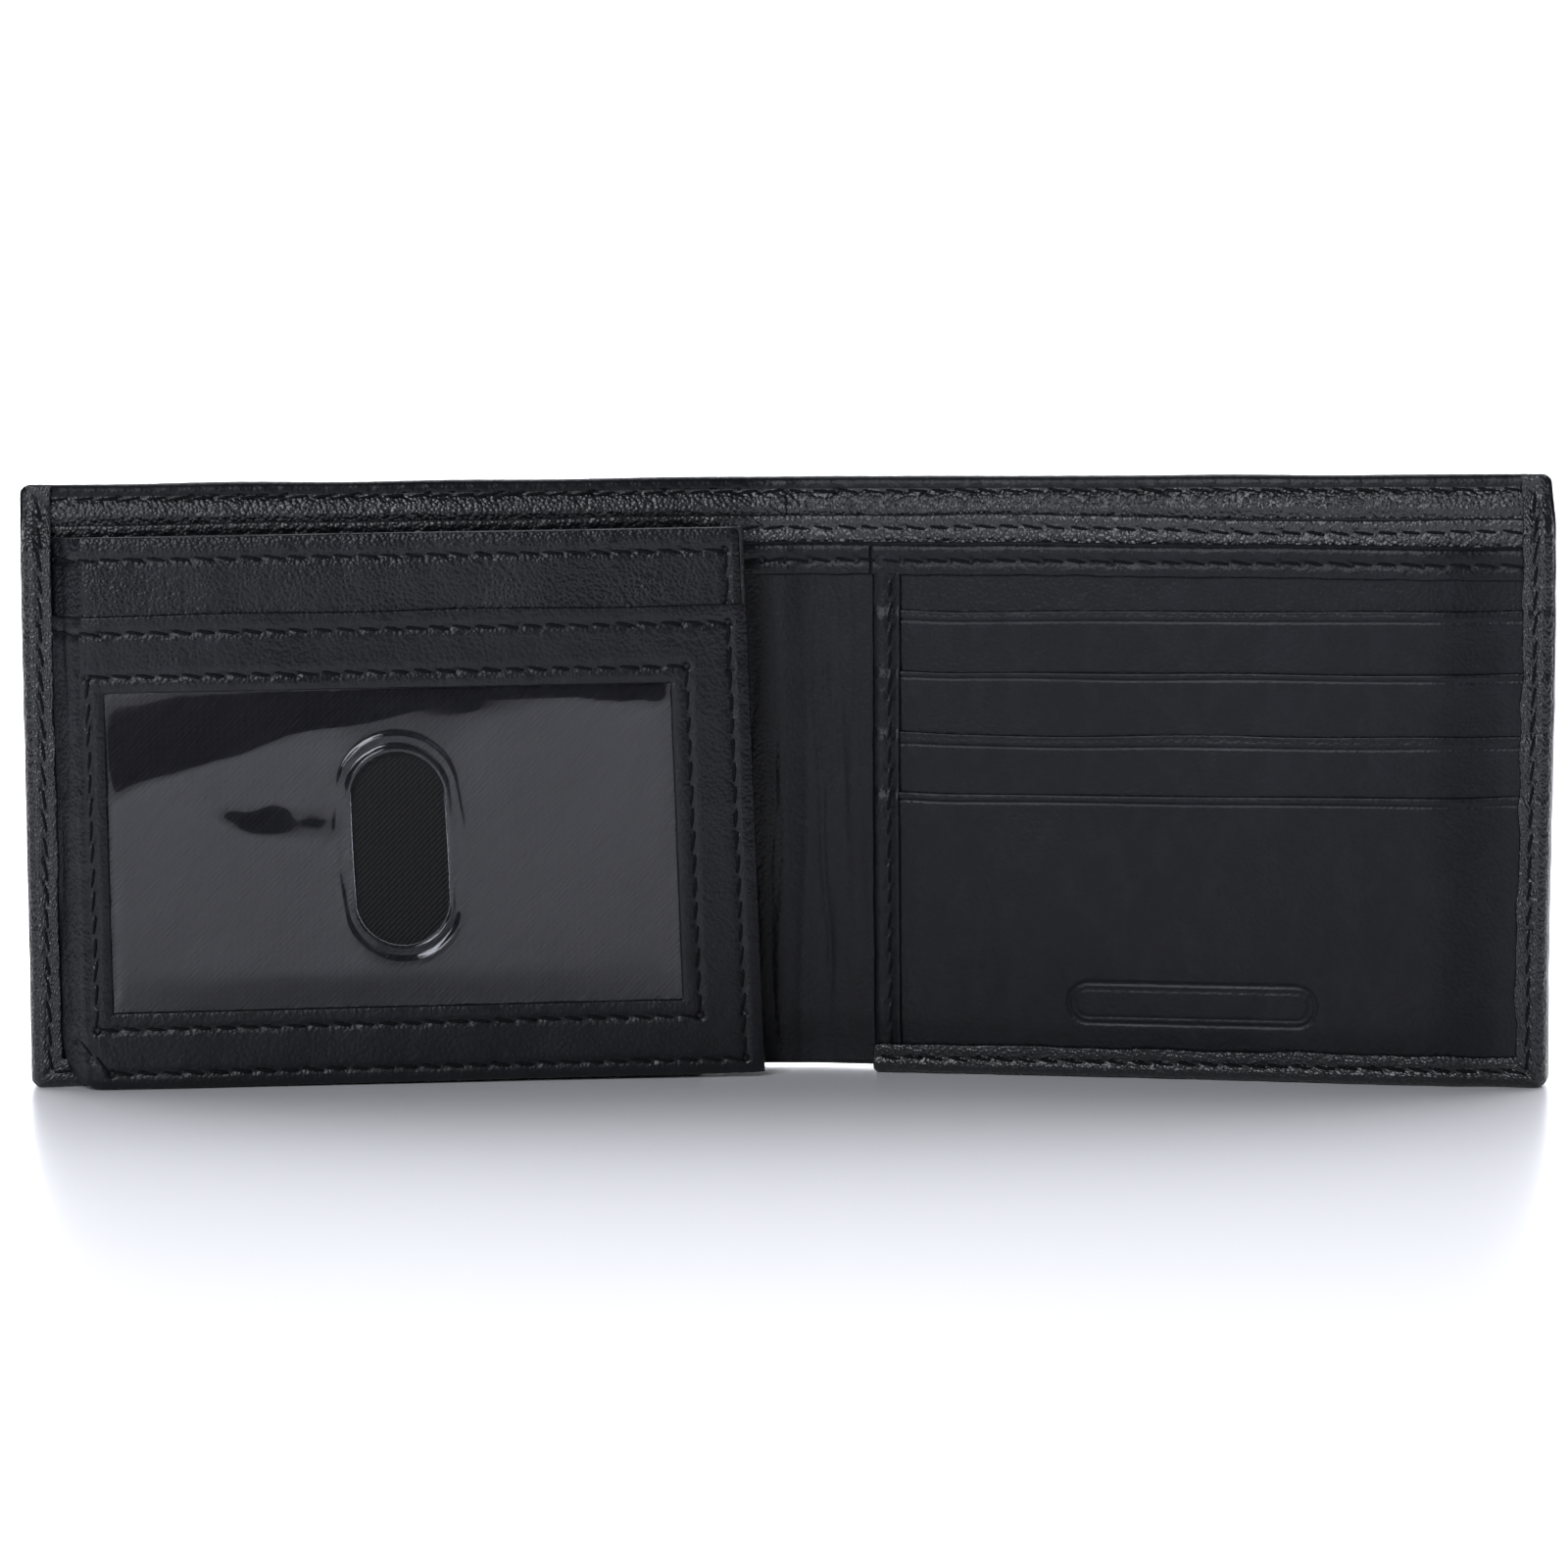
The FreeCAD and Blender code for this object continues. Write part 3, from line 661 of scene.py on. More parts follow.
def build_shell(half):
    """Back panel and top hem of a half, in one folded sheet."""
    xs = stations(0, EDGE - 0.45, 0.42, ends=False)
    fold = arc_points((1.02, TOP - 1.15), 0.55, 180, 20)
    corners = [(0.5, 0.5), (0.5, TOP - 1.2), *fold,
               *((t, TOP - below) for below, t in zip(HEM_BELOW, HEM_T))]
    hem_s = TOP + 1.2
    back_row = TOP - TOP_STITCH - 0.5
    path, s = follow(corners, 2.4, [(back_row, 1.8, 0.3), (TOP + 0.4, 1.2, 0.15),
                                    (hem_s + 4, 4.4, 0.32)])
    grid = swept(xs, path)
    on_hem = smooth((s - TOP - 0.6) / 1.0)[None, :]
    x, z = grid[..., 0], grid[..., 2]
    thickness = 1.0 - 0.22 * on_hem
    under_side = smooth((x - (EDGE - 3.2)) / 0.5)
    under_low = smooth((3.0 - z) / 0.5) * smooth((x - POCKET_X) / 0.6)
    grid[..., 1] += 0.16 * (under_side + under_low) * (1 - on_hem)
    grid[..., 1] += on_hem * half.own(x, z, 3, 16, 0.05)
    lift = dents(x, z, top_row(), 0.3, 0.14) + half.own(x, z, 5, 9, 0.05) * on_hem
    lift = lift + half.own(x, z, 6, 30, 0.06) * (1 - on_hem)
    grain = 0.35 + 0.65 * on_hem * np.ones_like(x)
    toward = (0, -1, 0)
    piece = leaf(f"shell_{half.name}_panel", half, round_corners(grid), thickness, PEBBLED,
                 lift, (0, 1, 1, 1), 0.3, toward, grain, smooth_material=OUTER)
    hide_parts(f"shell_{half.name}", "shell_spine")
    crosses_fold(piece, half.side)


def band_depth(half, x, z):
    """Depth of the turned edge's front face, lying on whatever is under it."""
    over_stack = stack(1, z) + 0.8 if half.side > 0 else 6.75 + 0 * z
    at_top = smooth((z - 79.5) / 8)
    over_strip = 0.5 * smooth((POCKET_X + SIDE_STRIP + 1.5 - x) / 2)
    return (over_stack + over_strip) * (1 - at_top) + 3.3 * at_top


def build_band(half):
    """The turned outer and bottom edge: one strip with a mitred corner."""
    lower = [(3.5, 0.62), (3.0, 0.36), (1.3, 0.36), *arc_points((1.3, 1.26), 0.9, 270, 180, 8)]
    upper = [*arc_points((2.0, -1.95), 1.6, 180, 90, 10), (BAND, -0.34)]
    wall = [(0.4, k) for k in (0.25, 0.5, 0.75)]
    d = [p[0] for p in lower] + [p[0] for p in wall] + [p[0] for p in upper]
    share = [0.0] * len(lower) + [k for _, k in wall] + [1.0] * len(upper)
    shift = [p[1] for p in lower] + [0.0] * 3 + [p[1] for p in upper]
    rough_t = np.array(share) * 6.0 + np.array(shift)
    arc = np.concatenate([[0], np.cumsum(np.hypot(np.diff(d), np.diff(rough_t)))])
    s = stations(0, arc[-1], 0.5, [(0.8, 0.9, 0.3), (arc[-1] - 1.7, 1.5, 0.28)])
    d, share, shift = (np.interp(s, arc, v) for v in (d, share, shift))
    down = np.linspace(0, 1, 250)
    run = np.linspace(0, 1, 260)
    z_side = TOP - 0.12 - down[:, None] * (TOP - 0.12 - d[None, :])
    x_side = np.broadcast_to(EDGE - d[None, :], z_side.shape)
    x_low = EDGE - d[None, :] - run[1:, None] * (EDGE - d[None, :] - POCKET_X)
    z_low = np.broadcast_to(d[None, :], x_low.shape)
    x, z = np.concatenate([x_side, x_low]), np.concatenate([z_side, z_low])
    inner = smooth((d[None, :] - EDGE_STITCH) / 1.6) * share[None, :]
    wobble = ripples(x, z, half.seed + 9, 11, 0.16) * inner
    t = share[None, :] * band_depth(half, x, z) + shift[None, :]
    grid = np.stack([x, t, z], -1)
    corner = len(down) - 1
    grid[:corner, :, 0] += wobble[:corner]
    grid[corner:, :, 2] += 0.7 * wobble[corner:]
    mitre = np.abs((EDGE - x) - z) / math.sqrt(2)
    front = smooth((share[None, :] - 0.6) / 0.4)
    lift = dents(x, z, edge_rows(half.side), 0.3, 0.15)
    lift = lift - 0.32 * bump(mitre, 0, 0.25) * front * smooth((8 - z) / 3)
    top_mitre = np.abs((TOP - z) - 0.75 * (EDGE - x)) / 1.25
    lift = lift - 0.3 * bump(top_mitre, 0, 0.25) * front * smooth((z - 84) / 3)
    lift = lift + ripples(x, z, half.seed + 14, 7, 0.035)
    grid = round_corners(grid)
    away = np.array([0.3, 1.0, 0.0])
    piece = leaf(f"shell_{half.name}_turned_edge", half, grid, 0.68, PEBBLED, lift,
                 (1, 1, 1, 1), 0.32, away, 0.35 + 0.5 * front, smooth_material=OUTER)
    on_half(piece, half.side)


# ---------------------------------------------------------------- sheets inside
def build_sheets(half):
    """Lining, divider and inner panel, each from the spine's centre to the outer edge."""
    xs = stations(0, SHEET_EDGE, 3.0, [(5, 5, 0.8)], ends=False)
    ends = (0, 1, 1, 1)
    for node, t, thick, top in (
        (f"lining_{half.name}", 1.12, 0.08, TOP - 5.5),
        (f"bill_divider_{half.name}", 2.7, 0.2, DIVIDER_TOP - 0.7),
        (f"inner_backing_{half.name}", 3.65, 0.2, INNER_TOP),
    ):
        zs = stations(SHEET_LOW, top, 4.0)
        piece = leaf(f"{node}_cloth", half, flat_grid(xs, zs, t), thick, LINING, rounded=ends,
                     radius=0.1)
        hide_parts(node, node.rsplit("_", 1)[0] + "_spine")
        crosses_fold(piece, half.side)


def spine_creases(x, z, seed):
    """Faint upright wrinkles where the leather bends."""
    rng = np.random.default_rng(seed)
    total = np.zeros(x.shape)
    for _ in range(11):
        at, reach = rng.uniform(0, 13), rng.uniform(14, 40)
        middle, width = rng.uniform(5, 75), rng.uniform(0.3, 0.8)
        line = at + 0.6 * np.sin(z / rng.uniform(6, 14) + rng.uniform(0, 6))
        total -= rng.uniform(0.05, 0.14) * bump(x, line, width) * bump(z, middle, reach)
    return total


def build_inner_panel(half):
    xs = stations(0, SHEET_EDGE, 3.0, [(8, 8, 0.3)], ends=False)
    zs = stations(SHEET_LOW, INNER_TOP, 1.0)
    grid = flat_grid(xs, zs, 4.1)
    x, z = grid[..., 0], grid[..., 2]
    grid[..., 2] += 0.25 * np.sin(x / 7.0) * smooth((6 - z) / 5)
    lift = spine_creases(x, z, half.seed + 20)
    lift = lift + 0.16 * bump(x, 0, 9) * bump(z, 40, 45)
    piece = leaf(f"inner_panel_{half.name}_leather", half, grid, 0.6, SKIVED, lift, (0, 1, 1, 1), 0.3,
                 grain=0.3)
    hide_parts(f"inner_panel_{half.name}", "inner_panel_spine")
    crosses_fold(piece, half.side)


def divider_sag(half, x):
    """How far the divider's top edge drops towards the outer edge, a little unevenly."""
    uneven = ripples(x, 0 * x, half.seed + 32, 34, 0.14) * smooth((x - 8) / 20)
    return uneven - 0.9 * smooth((x - 20) / 70) * (1 if half.side > 0 else 0.3)


def divider_wave(half, x, z):
    return ripples(x, z, half.seed + 33, 26, 0.12) * smooth((x - 8) / 20)


def build_divider_hem(half):
    """Leather folded over the divider's top edge."""
    xs = stations(0, SHEET_EDGE, 0.45, ends=False)
    fold = arc_points((2.85, DIVIDER_TOP - 0.45), 0.25, 180, 0)
    corners = [(2.6, DIVIDER_HEM_LOW), *fold, (3.1, DIVIDER_HEM_LOW)]
    height = DIVIDER_TOP - DIVIDER_HEM_LOW
    path, _ = follow(corners, 1.4, [(height, 1.0, 0.12), (height + 2.2, 2.6, 0.3)])
    grid = swept(xs, path)
    x, z = grid[..., 0], grid[..., 2]
    row = [((0.0, DIVIDER_TOP - DIVIDER_STITCH), (EDGE - BAND + 0.6, DIVIDER_TOP - DIVIDER_STITCH))]
    lift = dents(x, z, row, 0.22, 0.1) + half.own(x, z, 31, 8, 0.03)
    grid[..., 2] += divider_sag(half, x)
    grid[..., 1] += divider_wave(half, x, z)
    piece = leaf(f"divider_hem_{half.name}_leather", half, grid, 0.32, PEBBLED, lift,
                 (0, 1, 1, 1), 0.2, (0, 0, 1), 0.8)
    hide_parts(f"divider_hem_{half.name}", "divider_hem_spine")
    crosses_fold(piece, half.side)


def binding_slope(half, x):
    """How far the binding's top edge drops towards the outer edge, a little unevenly."""
    uneven = 0.12 * ripples(x, 0 * x, half.seed + 43, 30, 1.0) * smooth((x - 8) / 20)
    return -0.9 * smooth((x - 25) / 80) * (1 if half.side > 0 else 0.2) + uneven


def binding_step(half, x, z):
    """The binding lies deeper on the spine's side of the slip pocket's edge."""
    return -0.5 * smooth((POCKET_X + 0.3 - x) / 0.8)


def build_binding(half):
    """Leather folded over the top of the inner panel and the slip pocket."""
    xs = stations(0, EDGE - 4.2, 0.45, [(POCKET_X, 2, 0.15)], ends=False)
    back, front = 3.35, 5.25
    radius = (front - back) / 2
    fold = arc_points((back + radius, BINDING_TOP - radius - 0.15), radius, 180, 0, 16)
    corners = [(back, BINDING_LOW + 0.2), *fold, (front, BINDING_LOW)]
    height = BINDING_TOP - BINDING_LOW
    path, _ = follow(corners, 0.7, [(height + 0.8, 1.9, 0.16), (height + 3.6, 2.2, 0.28)])
    grid = swept(xs, path)
    x, z = grid[..., 0], grid[..., 2]
    forward = np.clip((grid[..., 1] - back) / (front - back), 0, 1)
    grid[..., 1] += forward * binding_step(half, x, z)
    row = [((0.0, BINDING_TOP - BINDING_STITCH), (EDGE - BAND + 0.4, BINDING_TOP - BINDING_STITCH))]
    lift = dents(x, z, row, 0.3, 0.12) + half.own(x, z, 41, 8, 0.035)
    raw = forward * smooth((BINDING_LOW + 1.2 - z) / 1.2)
    grid[..., 2] += raw * half.own(x, 0 * x, 42, 7, 0.07)
    grid[..., 2] += binding_slope(half, x)
    piece = leaf(f"top_binding_{half.name}_leather", half, grid, 0.3 + 0.24 * forward, SKIVED, lift,
                 (0, 1, 1, 1), 0.25, (0, 0, 1), 0.36)
    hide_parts(f"top_binding_{half.name}", "top_binding_spine")
    crosses_fold(piece, half.side)


# ---------------------------------------------------------------- card pockets
def build_slip_pocket(half):
    """Pocket base: its spine-side edge is turned forwards over the ends of the card slots."""
    end = SHEET_EDGE if half.side > 0 else -to_flat("slip_pocket_left")[0][0]
    fold = arc_points((POCKET_X + 1.3, 0.5), 1.0, 90, 270, 14)
    fold = [(x, 0.5 + (f - 0.5) * 0.5) for x, f in fold]
    corners = [(POCKET_X + SIDE_STRIP, 1.0), *fold, (end, 0.0)]
    path, _ = follow(corners, 2.5, [(2.2, 2.5, 0.28), (SIDE_STRIP + 0.8, 1.6, 0.14)])
    zs = stations(SHEET_LOW, INNER_TOP, 0.5)
    x = np.repeat(path[:, 0][:, None], len(zs), 1)
    z = np.repeat(zs[None, :], len(path), 0)
    forward = np.repeat(path[:, 1][:, None], len(zs), 1)
    turned_up = 0.3 if half.side > 0 else 0.16
    t = 4.65 + forward * (stack(half.side, z) + turned_up - 4.65)
    grid = np.stack([x, t, z], -1)
    row = [((POCKET_X + SIDE_STITCH, BINDING_LOW - 0.4), (POCKET_X + SIDE_STITCH, BOTTOM_BAND - 0.4))]
    lift = dents(x, z, row, 0.22, 0.13) * forward + ripples(x, z, half.seed + 51, 8, 0.03)
    piece = leaf(f"slip_pocket_{half.name}_leather", half, grid, 0.5, SKIVED, lift, (1, 1, 1, 1), 0.25,
                 (-1, 0.2, 0), 0.34)
    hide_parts(f"slip_pocket_{half.name}")
    on_half(piece, half.side)
    threads(f"stitches_slip_pocket_{half.name}", half, row,
            lambda x, z: stack(half.side, z) + turned_up + 0.2)
    stitch_piece(f"stitches_slip_pocket_{half.name}", f"stitching_side_{half.name}", half.side, False)


def pressed_bar(x, z):
    """A plain pressed outline, a rounded bar, low on the front slot."""
    away = np.hypot(np.maximum(np.abs(x - BAR_X) - BAR_REACH, 0), np.abs(z - BAR_Z))
    return -0.2 * bump(away, 3.0, 0.3) - 0.12 * bump(away, 2.1, 0.22)


def build_card_slots(half):
    tops = SLOT_TOPS[half.side]
    shown = half.side > 0
    for i, top in enumerate(tops):
        last = i == len(tops) - 1
        low = BOTTOM_BAND - 1.6 if last else tops[i + 1] - 3.0
        step = 0.5 if shown else 1.5
        xs = stations(SLOT_START - 0.9, SLOT_END[half.side] + (0.9 if shown else 0), step * 1.4)
        zs = stations(low, top, step if last else 0.6, [(top - 1.45, 1.0, 0.13)])
        if last and shown:
            xs = stations(xs[0], xs[-1], 0.7, [(BAR_X, 20, 0.3)])
            zs = stations(low, top, 0.6, [(top - 1.45, 1.0, 0.13), (BAR_Z, 4.2, 0.25)])
        grid = flat_grid(xs, zs, 5.15 + 0.45 * i)
        x, z = grid[..., 0], grid[..., 2]
        crease = top - SLOT_CREASES[i] + ripples(x, 0 * x, half.seed + 60 + i, 40, 0.06)
        lift = 0.05 * bump(z, crease + 0.6, 0.4) - 0.12 * bump(z, crease, 0.2)
        lift = lift + ripples(x, z, half.seed + 70 + i, 24, 0.045)
        if last and shown:
            lift = lift + pressed_bar(x, z)
        mouth = smooth((z - (top - 7)) / 7)
        grid[..., 1] += 0.3 * mouth * (0.6 + ripples(x, 0 * x, half.seed + 80 + i, 30, 0.5))
        ends = smooth((x - SLOT_START) / 8) * smooth((SLOT_END[half.side] - x) / 8)
        grid[..., 2] += mouth * (ripples(x, 0 * x, half.seed + 90 + i, 38, 0.12) - 0.25 * ends)
        piece = leaf(f"card_slot_{half.name}_{i + 1}_leather", half, grid, 0.42, SKIVED, lift,
                     radius=0.24, grain=0.3)
        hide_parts(f"card_slot_{half.name}_{i + 1}")
        on_half(piece, half.side)


def build_card_bags(half):
    """Fabric that hangs behind each card slot but the last."""
    tops = SLOT_TOPS[half.side]
    for i, below in enumerate(tops[1:]):
        top = below - 3.05
        xs = stations(SLOT_START, SLOT_END[half.side] - 0.5, 6)
        zs = stations(BOTTOM_BAND, top, 6)
        grid = flat_grid(xs, zs, 5.12 + 0.45 * i)
        bag = leaf(f"card_bag_{half.name}_{i + 1}", half, grid, 0.12, LINING, radius=0.1)
        on_half(bag, half.side)
    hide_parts(f"card_bags_{half.name}")


# ---------------------------------------------------------------- stitching of the body
def stitch_piece(piece_name, node, side, folds):
    piece = bpy.data.objects[piece_name]
    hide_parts(node)
    return crosses_fold(piece, side) if folds else on_half(piece, side)


def build_stitching(half):
    side = half.side
    threads(f"stitches_top_{half.name}", half, top_row(), lambda x, z: hem_depth_at(z) - 0.02)
    piece = stitch_piece(f"stitches_top_{half.name}", f"stitching_top_{half.name}", side, True)
    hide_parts("stitching_spine")
    threads(f"stitches_top_back_{half.name}", half, top_row(), lambda x, z: 0 * x, facing=-1)
    crosses_fold(bpy.data.objects[f"stitches_top_back_{half.name}"], side)
    rows = edge_rows(side)
    threads(f"stitches_edge_{half.name}", half, rows, lambda x, z: band_depth(half, x, z) - 0.02)
    stitch_piece(f"stitches_edge_{half.name}", f"stitching_edge_{half.name}", side, False)
    threads(f"stitches_edge_back_{half.name}", half, rows, lambda x, z: 0 * x, facing=-1)
    on_half(bpy.data.objects[f"stitches_edge_back_{half.name}"], side)


class Draped:
    """A half whose points also follow a strip's uneven height and depth."""

    def __init__(self, half, rise, depth):
        self.half = half
        self.rise = rise
        self.depth = depth

    def place(self, p):
        p = p.copy()
        p[:, 1] += self.depth(self.half, p[:, 0], p[:, 2])
        p[:, 2] += self.rise(self.half, p[:, 0])
        return self.half.place(p)


def build_strip_stitching(half):
    """Stitches of the divider hem and of the top binding, which sag with them."""
    end = EDGE - BAND + 0.4
    for strip, z, rise, depth, front in (
        ("divider", DIVIDER_TOP - DIVIDER_STITCH, divider_sag, divider_wave, 3.25),
        ("binding", BINDING_TOP - BINDING_STITCH, binding_slope, binding_step, 5.5),
    ):
        draped = Draped(half, rise, depth)
        name = f"stitches_{strip}_{half.name}"
        threads(name, draped, [((0, z), (end, z))], lambda x, z: front + 0 * x)
        stitch_piece(name, f"stitching_{strip}_{half.name}", half.side, True)


# ---------------------------------------------------------------- fold-out flap
def flap_front(a):
    """Depth of the flap's front leather, rising from under the turned edge."""
    return 4.5 + 4.8 * smooth((a + 0.9) / 6.6)


def flap_low(a):
    """Bottom edge of the flap's leather, with its corner cut round by the hinge."""
    share = np.clip(1 - (a - 0.3) / 6.2, 0, 1)
    return FLAP_Z[0] + 5.4 * (1 - np.sqrt(1 - share**2))


def hinge_creases(a, z, seed):
    rng = np.random.default_rng(seed)
    total = np.zeros(np.broadcast(a, z).shape)
    for _ in range(9):
        at, middle = rng.uniform(0.2, 5.5), rng.uniform(5, 78)
        reach, width = rng.uniform(8, 26), rng.uniform(0.25, 0.5)
        line = at + 0.5 * np.sin(z / rng.uniform(5, 12) + rng.uniform(0, 6))
        total -= rng.uniform(0.06, 0.16) * bump(a, line, width) * bump(z, middle, reach)
    return total


FLAP_TUCK = -3.6  # how far the flap's leather reaches under the turned edge
RIGHT_INSET = 2.9  # stitch lines, in from the flap's free edge, its hem and its window
FRAME_STITCH = 2.6
WINDOW_STITCH = 2.5


def flap_rows():
    """Stitch lines on the frame and on the top panel, as (frame rows, panel rows)."""
    right = FLAP_END - RIGHT_INSET
    low, hem, top = FLAP_Z[0] + 2.3, FRAME_TOP - FRAME_STITCH, FLAP_Z[1] - 3.4
    a0, a1 = WINDOW_A[0] - WINDOW_STITCH, WINDOW_A[1] + WINDOW_STITCH
    z0, z1 = WINDOW_Z[0] - WINDOW_STITCH, WINDOW_Z[1] + WINDOW_STITCH
    frame_rows = [
        ((0.6, hem), (right, hem)), ((right, hem), (right, low)), ((right, low), (7.5, low)),
        ((7.5, low), (2.4, low + 5.2)),
        ((a0, z0), (a1, z0)), ((a1, z0), (a1, z1)), ((a1, z1), (a0, z1)), ((a0, z1), (a0, z0)),
    ]
    panel_rows = [((0.6, top), (right, top)), ((right, top), (right, FRAME_TOP + 0.3))]
    return frame_rows, panel_rows


def edge_fall(distance, reach=1.5, depth=0.45):
    """How far the leather falls back towards an edge."""
    return depth * (1 - smooth(distance / reach))


def near_window(span):
    """Where the frame's grid is finer: at both rims of the window and along its stitches."""
    return [(span[0], 0.6, 0.12), (span[1], 0.6, 0.12), (span[0] - WINDOW_STITCH, 1.1, 0.3),
            (span[1] + WINDOW_STITCH, 1.1, 0.3)]


def inside(values, span):
    return (values > span[0]) & (values < span[1])


def build_flap_frame():
    rows, _ = flap_rows()
    a = snap(stations(FLAP_TUCK, FLAP_END, 0.8, [(2, 4, 0.3), *near_window(WINDOW_A),
                                                 (FLAP_END - RIGHT_INSET, 1.1, 0.3)]), WINDOW_A)
    v = snap(stations(FLAP_Z[0], FRAME_TOP, 0.8, [*near_window(WINDOW_Z), (FLAP_Z[0] + 2.3, 1.1, 0.3),
                                                  (FRAME_TOP - FRAME_STITCH, 1.1, 0.3)]), WINDOW_Z)
    A, V = np.meshgrid(a, v, indexing="ij")
    share = (V - FLAP_Z[0]) / (FRAME_TOP - FLAP_Z[0])
    Z = flap_low(A) + share * (FRAME_TOP - flap_low(A))
    Z = np.where(A > 6.6, V, Z)
    T = flap_front(A)
    T = T - edge_fall(FLAP_END - A) - edge_fall(Z - flap_low(A))
    grid = np.stack([A, T, Z], -1)
    mid_a, mid_v = (a[1:] + a[:-1]) / 2, (v[1:] + v[:-1]) / 2
    hole = np.outer(inside(mid_a, WINDOW_A), inside(mid_v, WINDOW_Z))
    da = np.maximum(np.maximum(WINDOW_A[0] - A, A - WINDOW_A[1]), 0)
    dz = np.maximum(np.maximum(WINDOW_Z[0] - Z, Z - WINDOW_Z[1]), 0)
    from_window = np.hypot(da, dz)
    rim = np.sqrt(np.clip(1 - (1 - np.clip(from_window / 0.3, 0, 1)) ** 2, 0, 1))
    thickness = 0.5 * np.maximum(rim, 0.12)
    lift = dents(A, Z, rows, 0.3, 0.14)
    lift = lift + hinge_creases(A, Z, 5) + ripples(A, Z, 77, 9, 0.03) + ripples(A, Z, 79, 20, 0.05)
    grid[..., 1] -= 0.12 * (1 - smooth(from_window / 1.0))
    wobble = ripples(A, 0 * A, 78, 30, 0.18) * smooth((Z - FRAME_TOP + 3) / 3)
    grid[..., 2] += wobble
    piece = leaf("flap_window_frame_leather", FLAP, grid, thickness, LEATHER, lift, (1, 1, 1, 1), 0.28,
                 grain=0.4, hole=hole)
    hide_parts("flap_window_frame", "flap_anchor")
    crosses_hinge(piece)


def snap(values, targets):
    """Moves the nearest station onto each target."""
    values = values.copy()
    for target in targets:
        values[np.abs(values - target).argmin()] = target
    return values


def build_flap_top_panel():
    _, rows = flap_rows()
    end = FLAP_END - 0.7
    a = stations(FLAP_TUCK, end, 0.5, [(2, 4, 0.3), (FLAP_END - RIGHT_INSET, 1.1, 0.3)])
    z = stations(FRAME_TOP - 8, FLAP_Z[1], 0.45, [(FLAP_Z[1] - 3.4, 1.2, 0.3)])
    A, Z = np.meshgrid(a, z, indexing="ij")
    T = flap_front(A) - 0.62 - edge_fall(end - A, 1.2, 0.25) - edge_fall(FLAP_Z[1] - Z, 1.2, 0.25)
    T = T + 0.12 * bump(Z, 76, 3) * bump(A, 50, 45)
    grid = np.stack([A, T, Z], -1)
    lift = dents(A, Z, rows, 0.3, 0.14) + hinge_creases(A, Z, 8) + ripples(A, Z, 87, 9, 0.035)
    slanting = np.sin(math.tau * (Z - 0.35 * A + ripples(A, Z, 89, 14, 0.6)) / 1.9)
    lift = lift + 0.022 * slanting * smooth((A - 6) / 6) * smooth((52 - A) / 30) * smooth((78 - Z) / 3)
    lift = lift + ripples(A, Z, 90, 24, 0.14) * smooth((FLAP_Z[1] - 2 - Z) / 5)
    grid[..., 2] += ripples(A, 0 * A, 88, 50, 0.15) * smooth((Z - FLAP_Z[1] + 4) / 4)
    piece = leaf("flap_top_panel_leather", FLAP, grid, 0.45, LEATHER, lift, (1, 1, 1, 1), 0.28,
                 grain=0.6)
    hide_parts("flap_top_panel", "flap_hinge_strip")
    crosses_hinge(piece)


def flap_surface(panel):
    """Depth of the face that a flap's stitches lie on."""
    def depth(a, z):
        fall = edge_fall(FLAP_END - a) + edge_fall(z - flap_low(a))
        if panel:
            return flap_front(a) - 0.62 + 0.22 + 0.12 * bump(z, 76, 3) * bump(a, 50, 45) - 0.03
        return flap_front(a) + 0.25 - fall - 0.03
    return depth


def build_flap_stitching():
    frame_rows, panel_rows = flap_rows()
    edge = threads("stitches_flap_frame", FLAP, frame_rows[:4], flap_surface(False))
    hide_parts("stitching_flap_edge")
    crosses_hinge(edge)
    crosses_hinge(threads("stitches_flap_top", FLAP, panel_rows, flap_surface(True)))
    window = threads("stitches_flap_window", FLAP, frame_rows[4:], flap_surface(False))
    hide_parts("stitching_flap_window")
    crosses_hinge(window)
    rows = [frame_rows[1], frame_rows[2], panel_rows[0], panel_rows[1]]
    rows = [((max(p[0], 8.0), p[1]), (max(q[0], 8.0), q[1])) for p, q in rows]
    back = threads("stitches_flap_back", FLAP, rows, lambda a, z: 7.92 + 0 * a, facing=-1)
    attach(back, "flap")


THUMB_A, THUMB_Z = 51.3, 35.6  # centre of the thumb hole
THUMB_SIZE = (14.2, 28.8)
THUMB_TILT = math.radians(1.2)
ROUND_HOLE = 3.6  # the film keeps the hole's outline this far out


def film_wave(a, z):
    """The film bellies out of its window, and creases towards the window's top corner."""
    free = smooth((a - WINDOW_A[0] + 0.6) / 1.6) * smooth((WINDOW_A[1] + 0.5 - a) / 2.2)
    free = free * smooth((z - WINDOW_Z[0] + 0.3) / 6)
    across = np.clip((a - WINDOW_A[0]) / (WINDOW_A[1] - WINDOW_A[0]), 0, 1)
    across = across + ripples(a, z, 503, 30, 0.06)
    start = np.minimum(41 + 16.5 * across + 26 * across * (1 - across), WINDOW_Z[1] - 1.8)
    belly = (1.05 - 0.88 * across) * (1 - smooth((z - start) / (WINDOW_Z[1] - start)))
    wave = ripples(a, z, 501, 40, 0.09) + ripples(a, 0.5 * z, 502, 15, 0.02)
    wave = wave * smooth((WINDOW_Z[1] + 0.3 - z) / 5)
    uneven = 1 + ripples(a, z, 504, 7, 0.25)
    crease = -0.55 * uneven * bump(a, 32, 9) * bump(z, 43 - 0.12 * (a - 32), 3.4)
    return free * (belly + wave + crease)


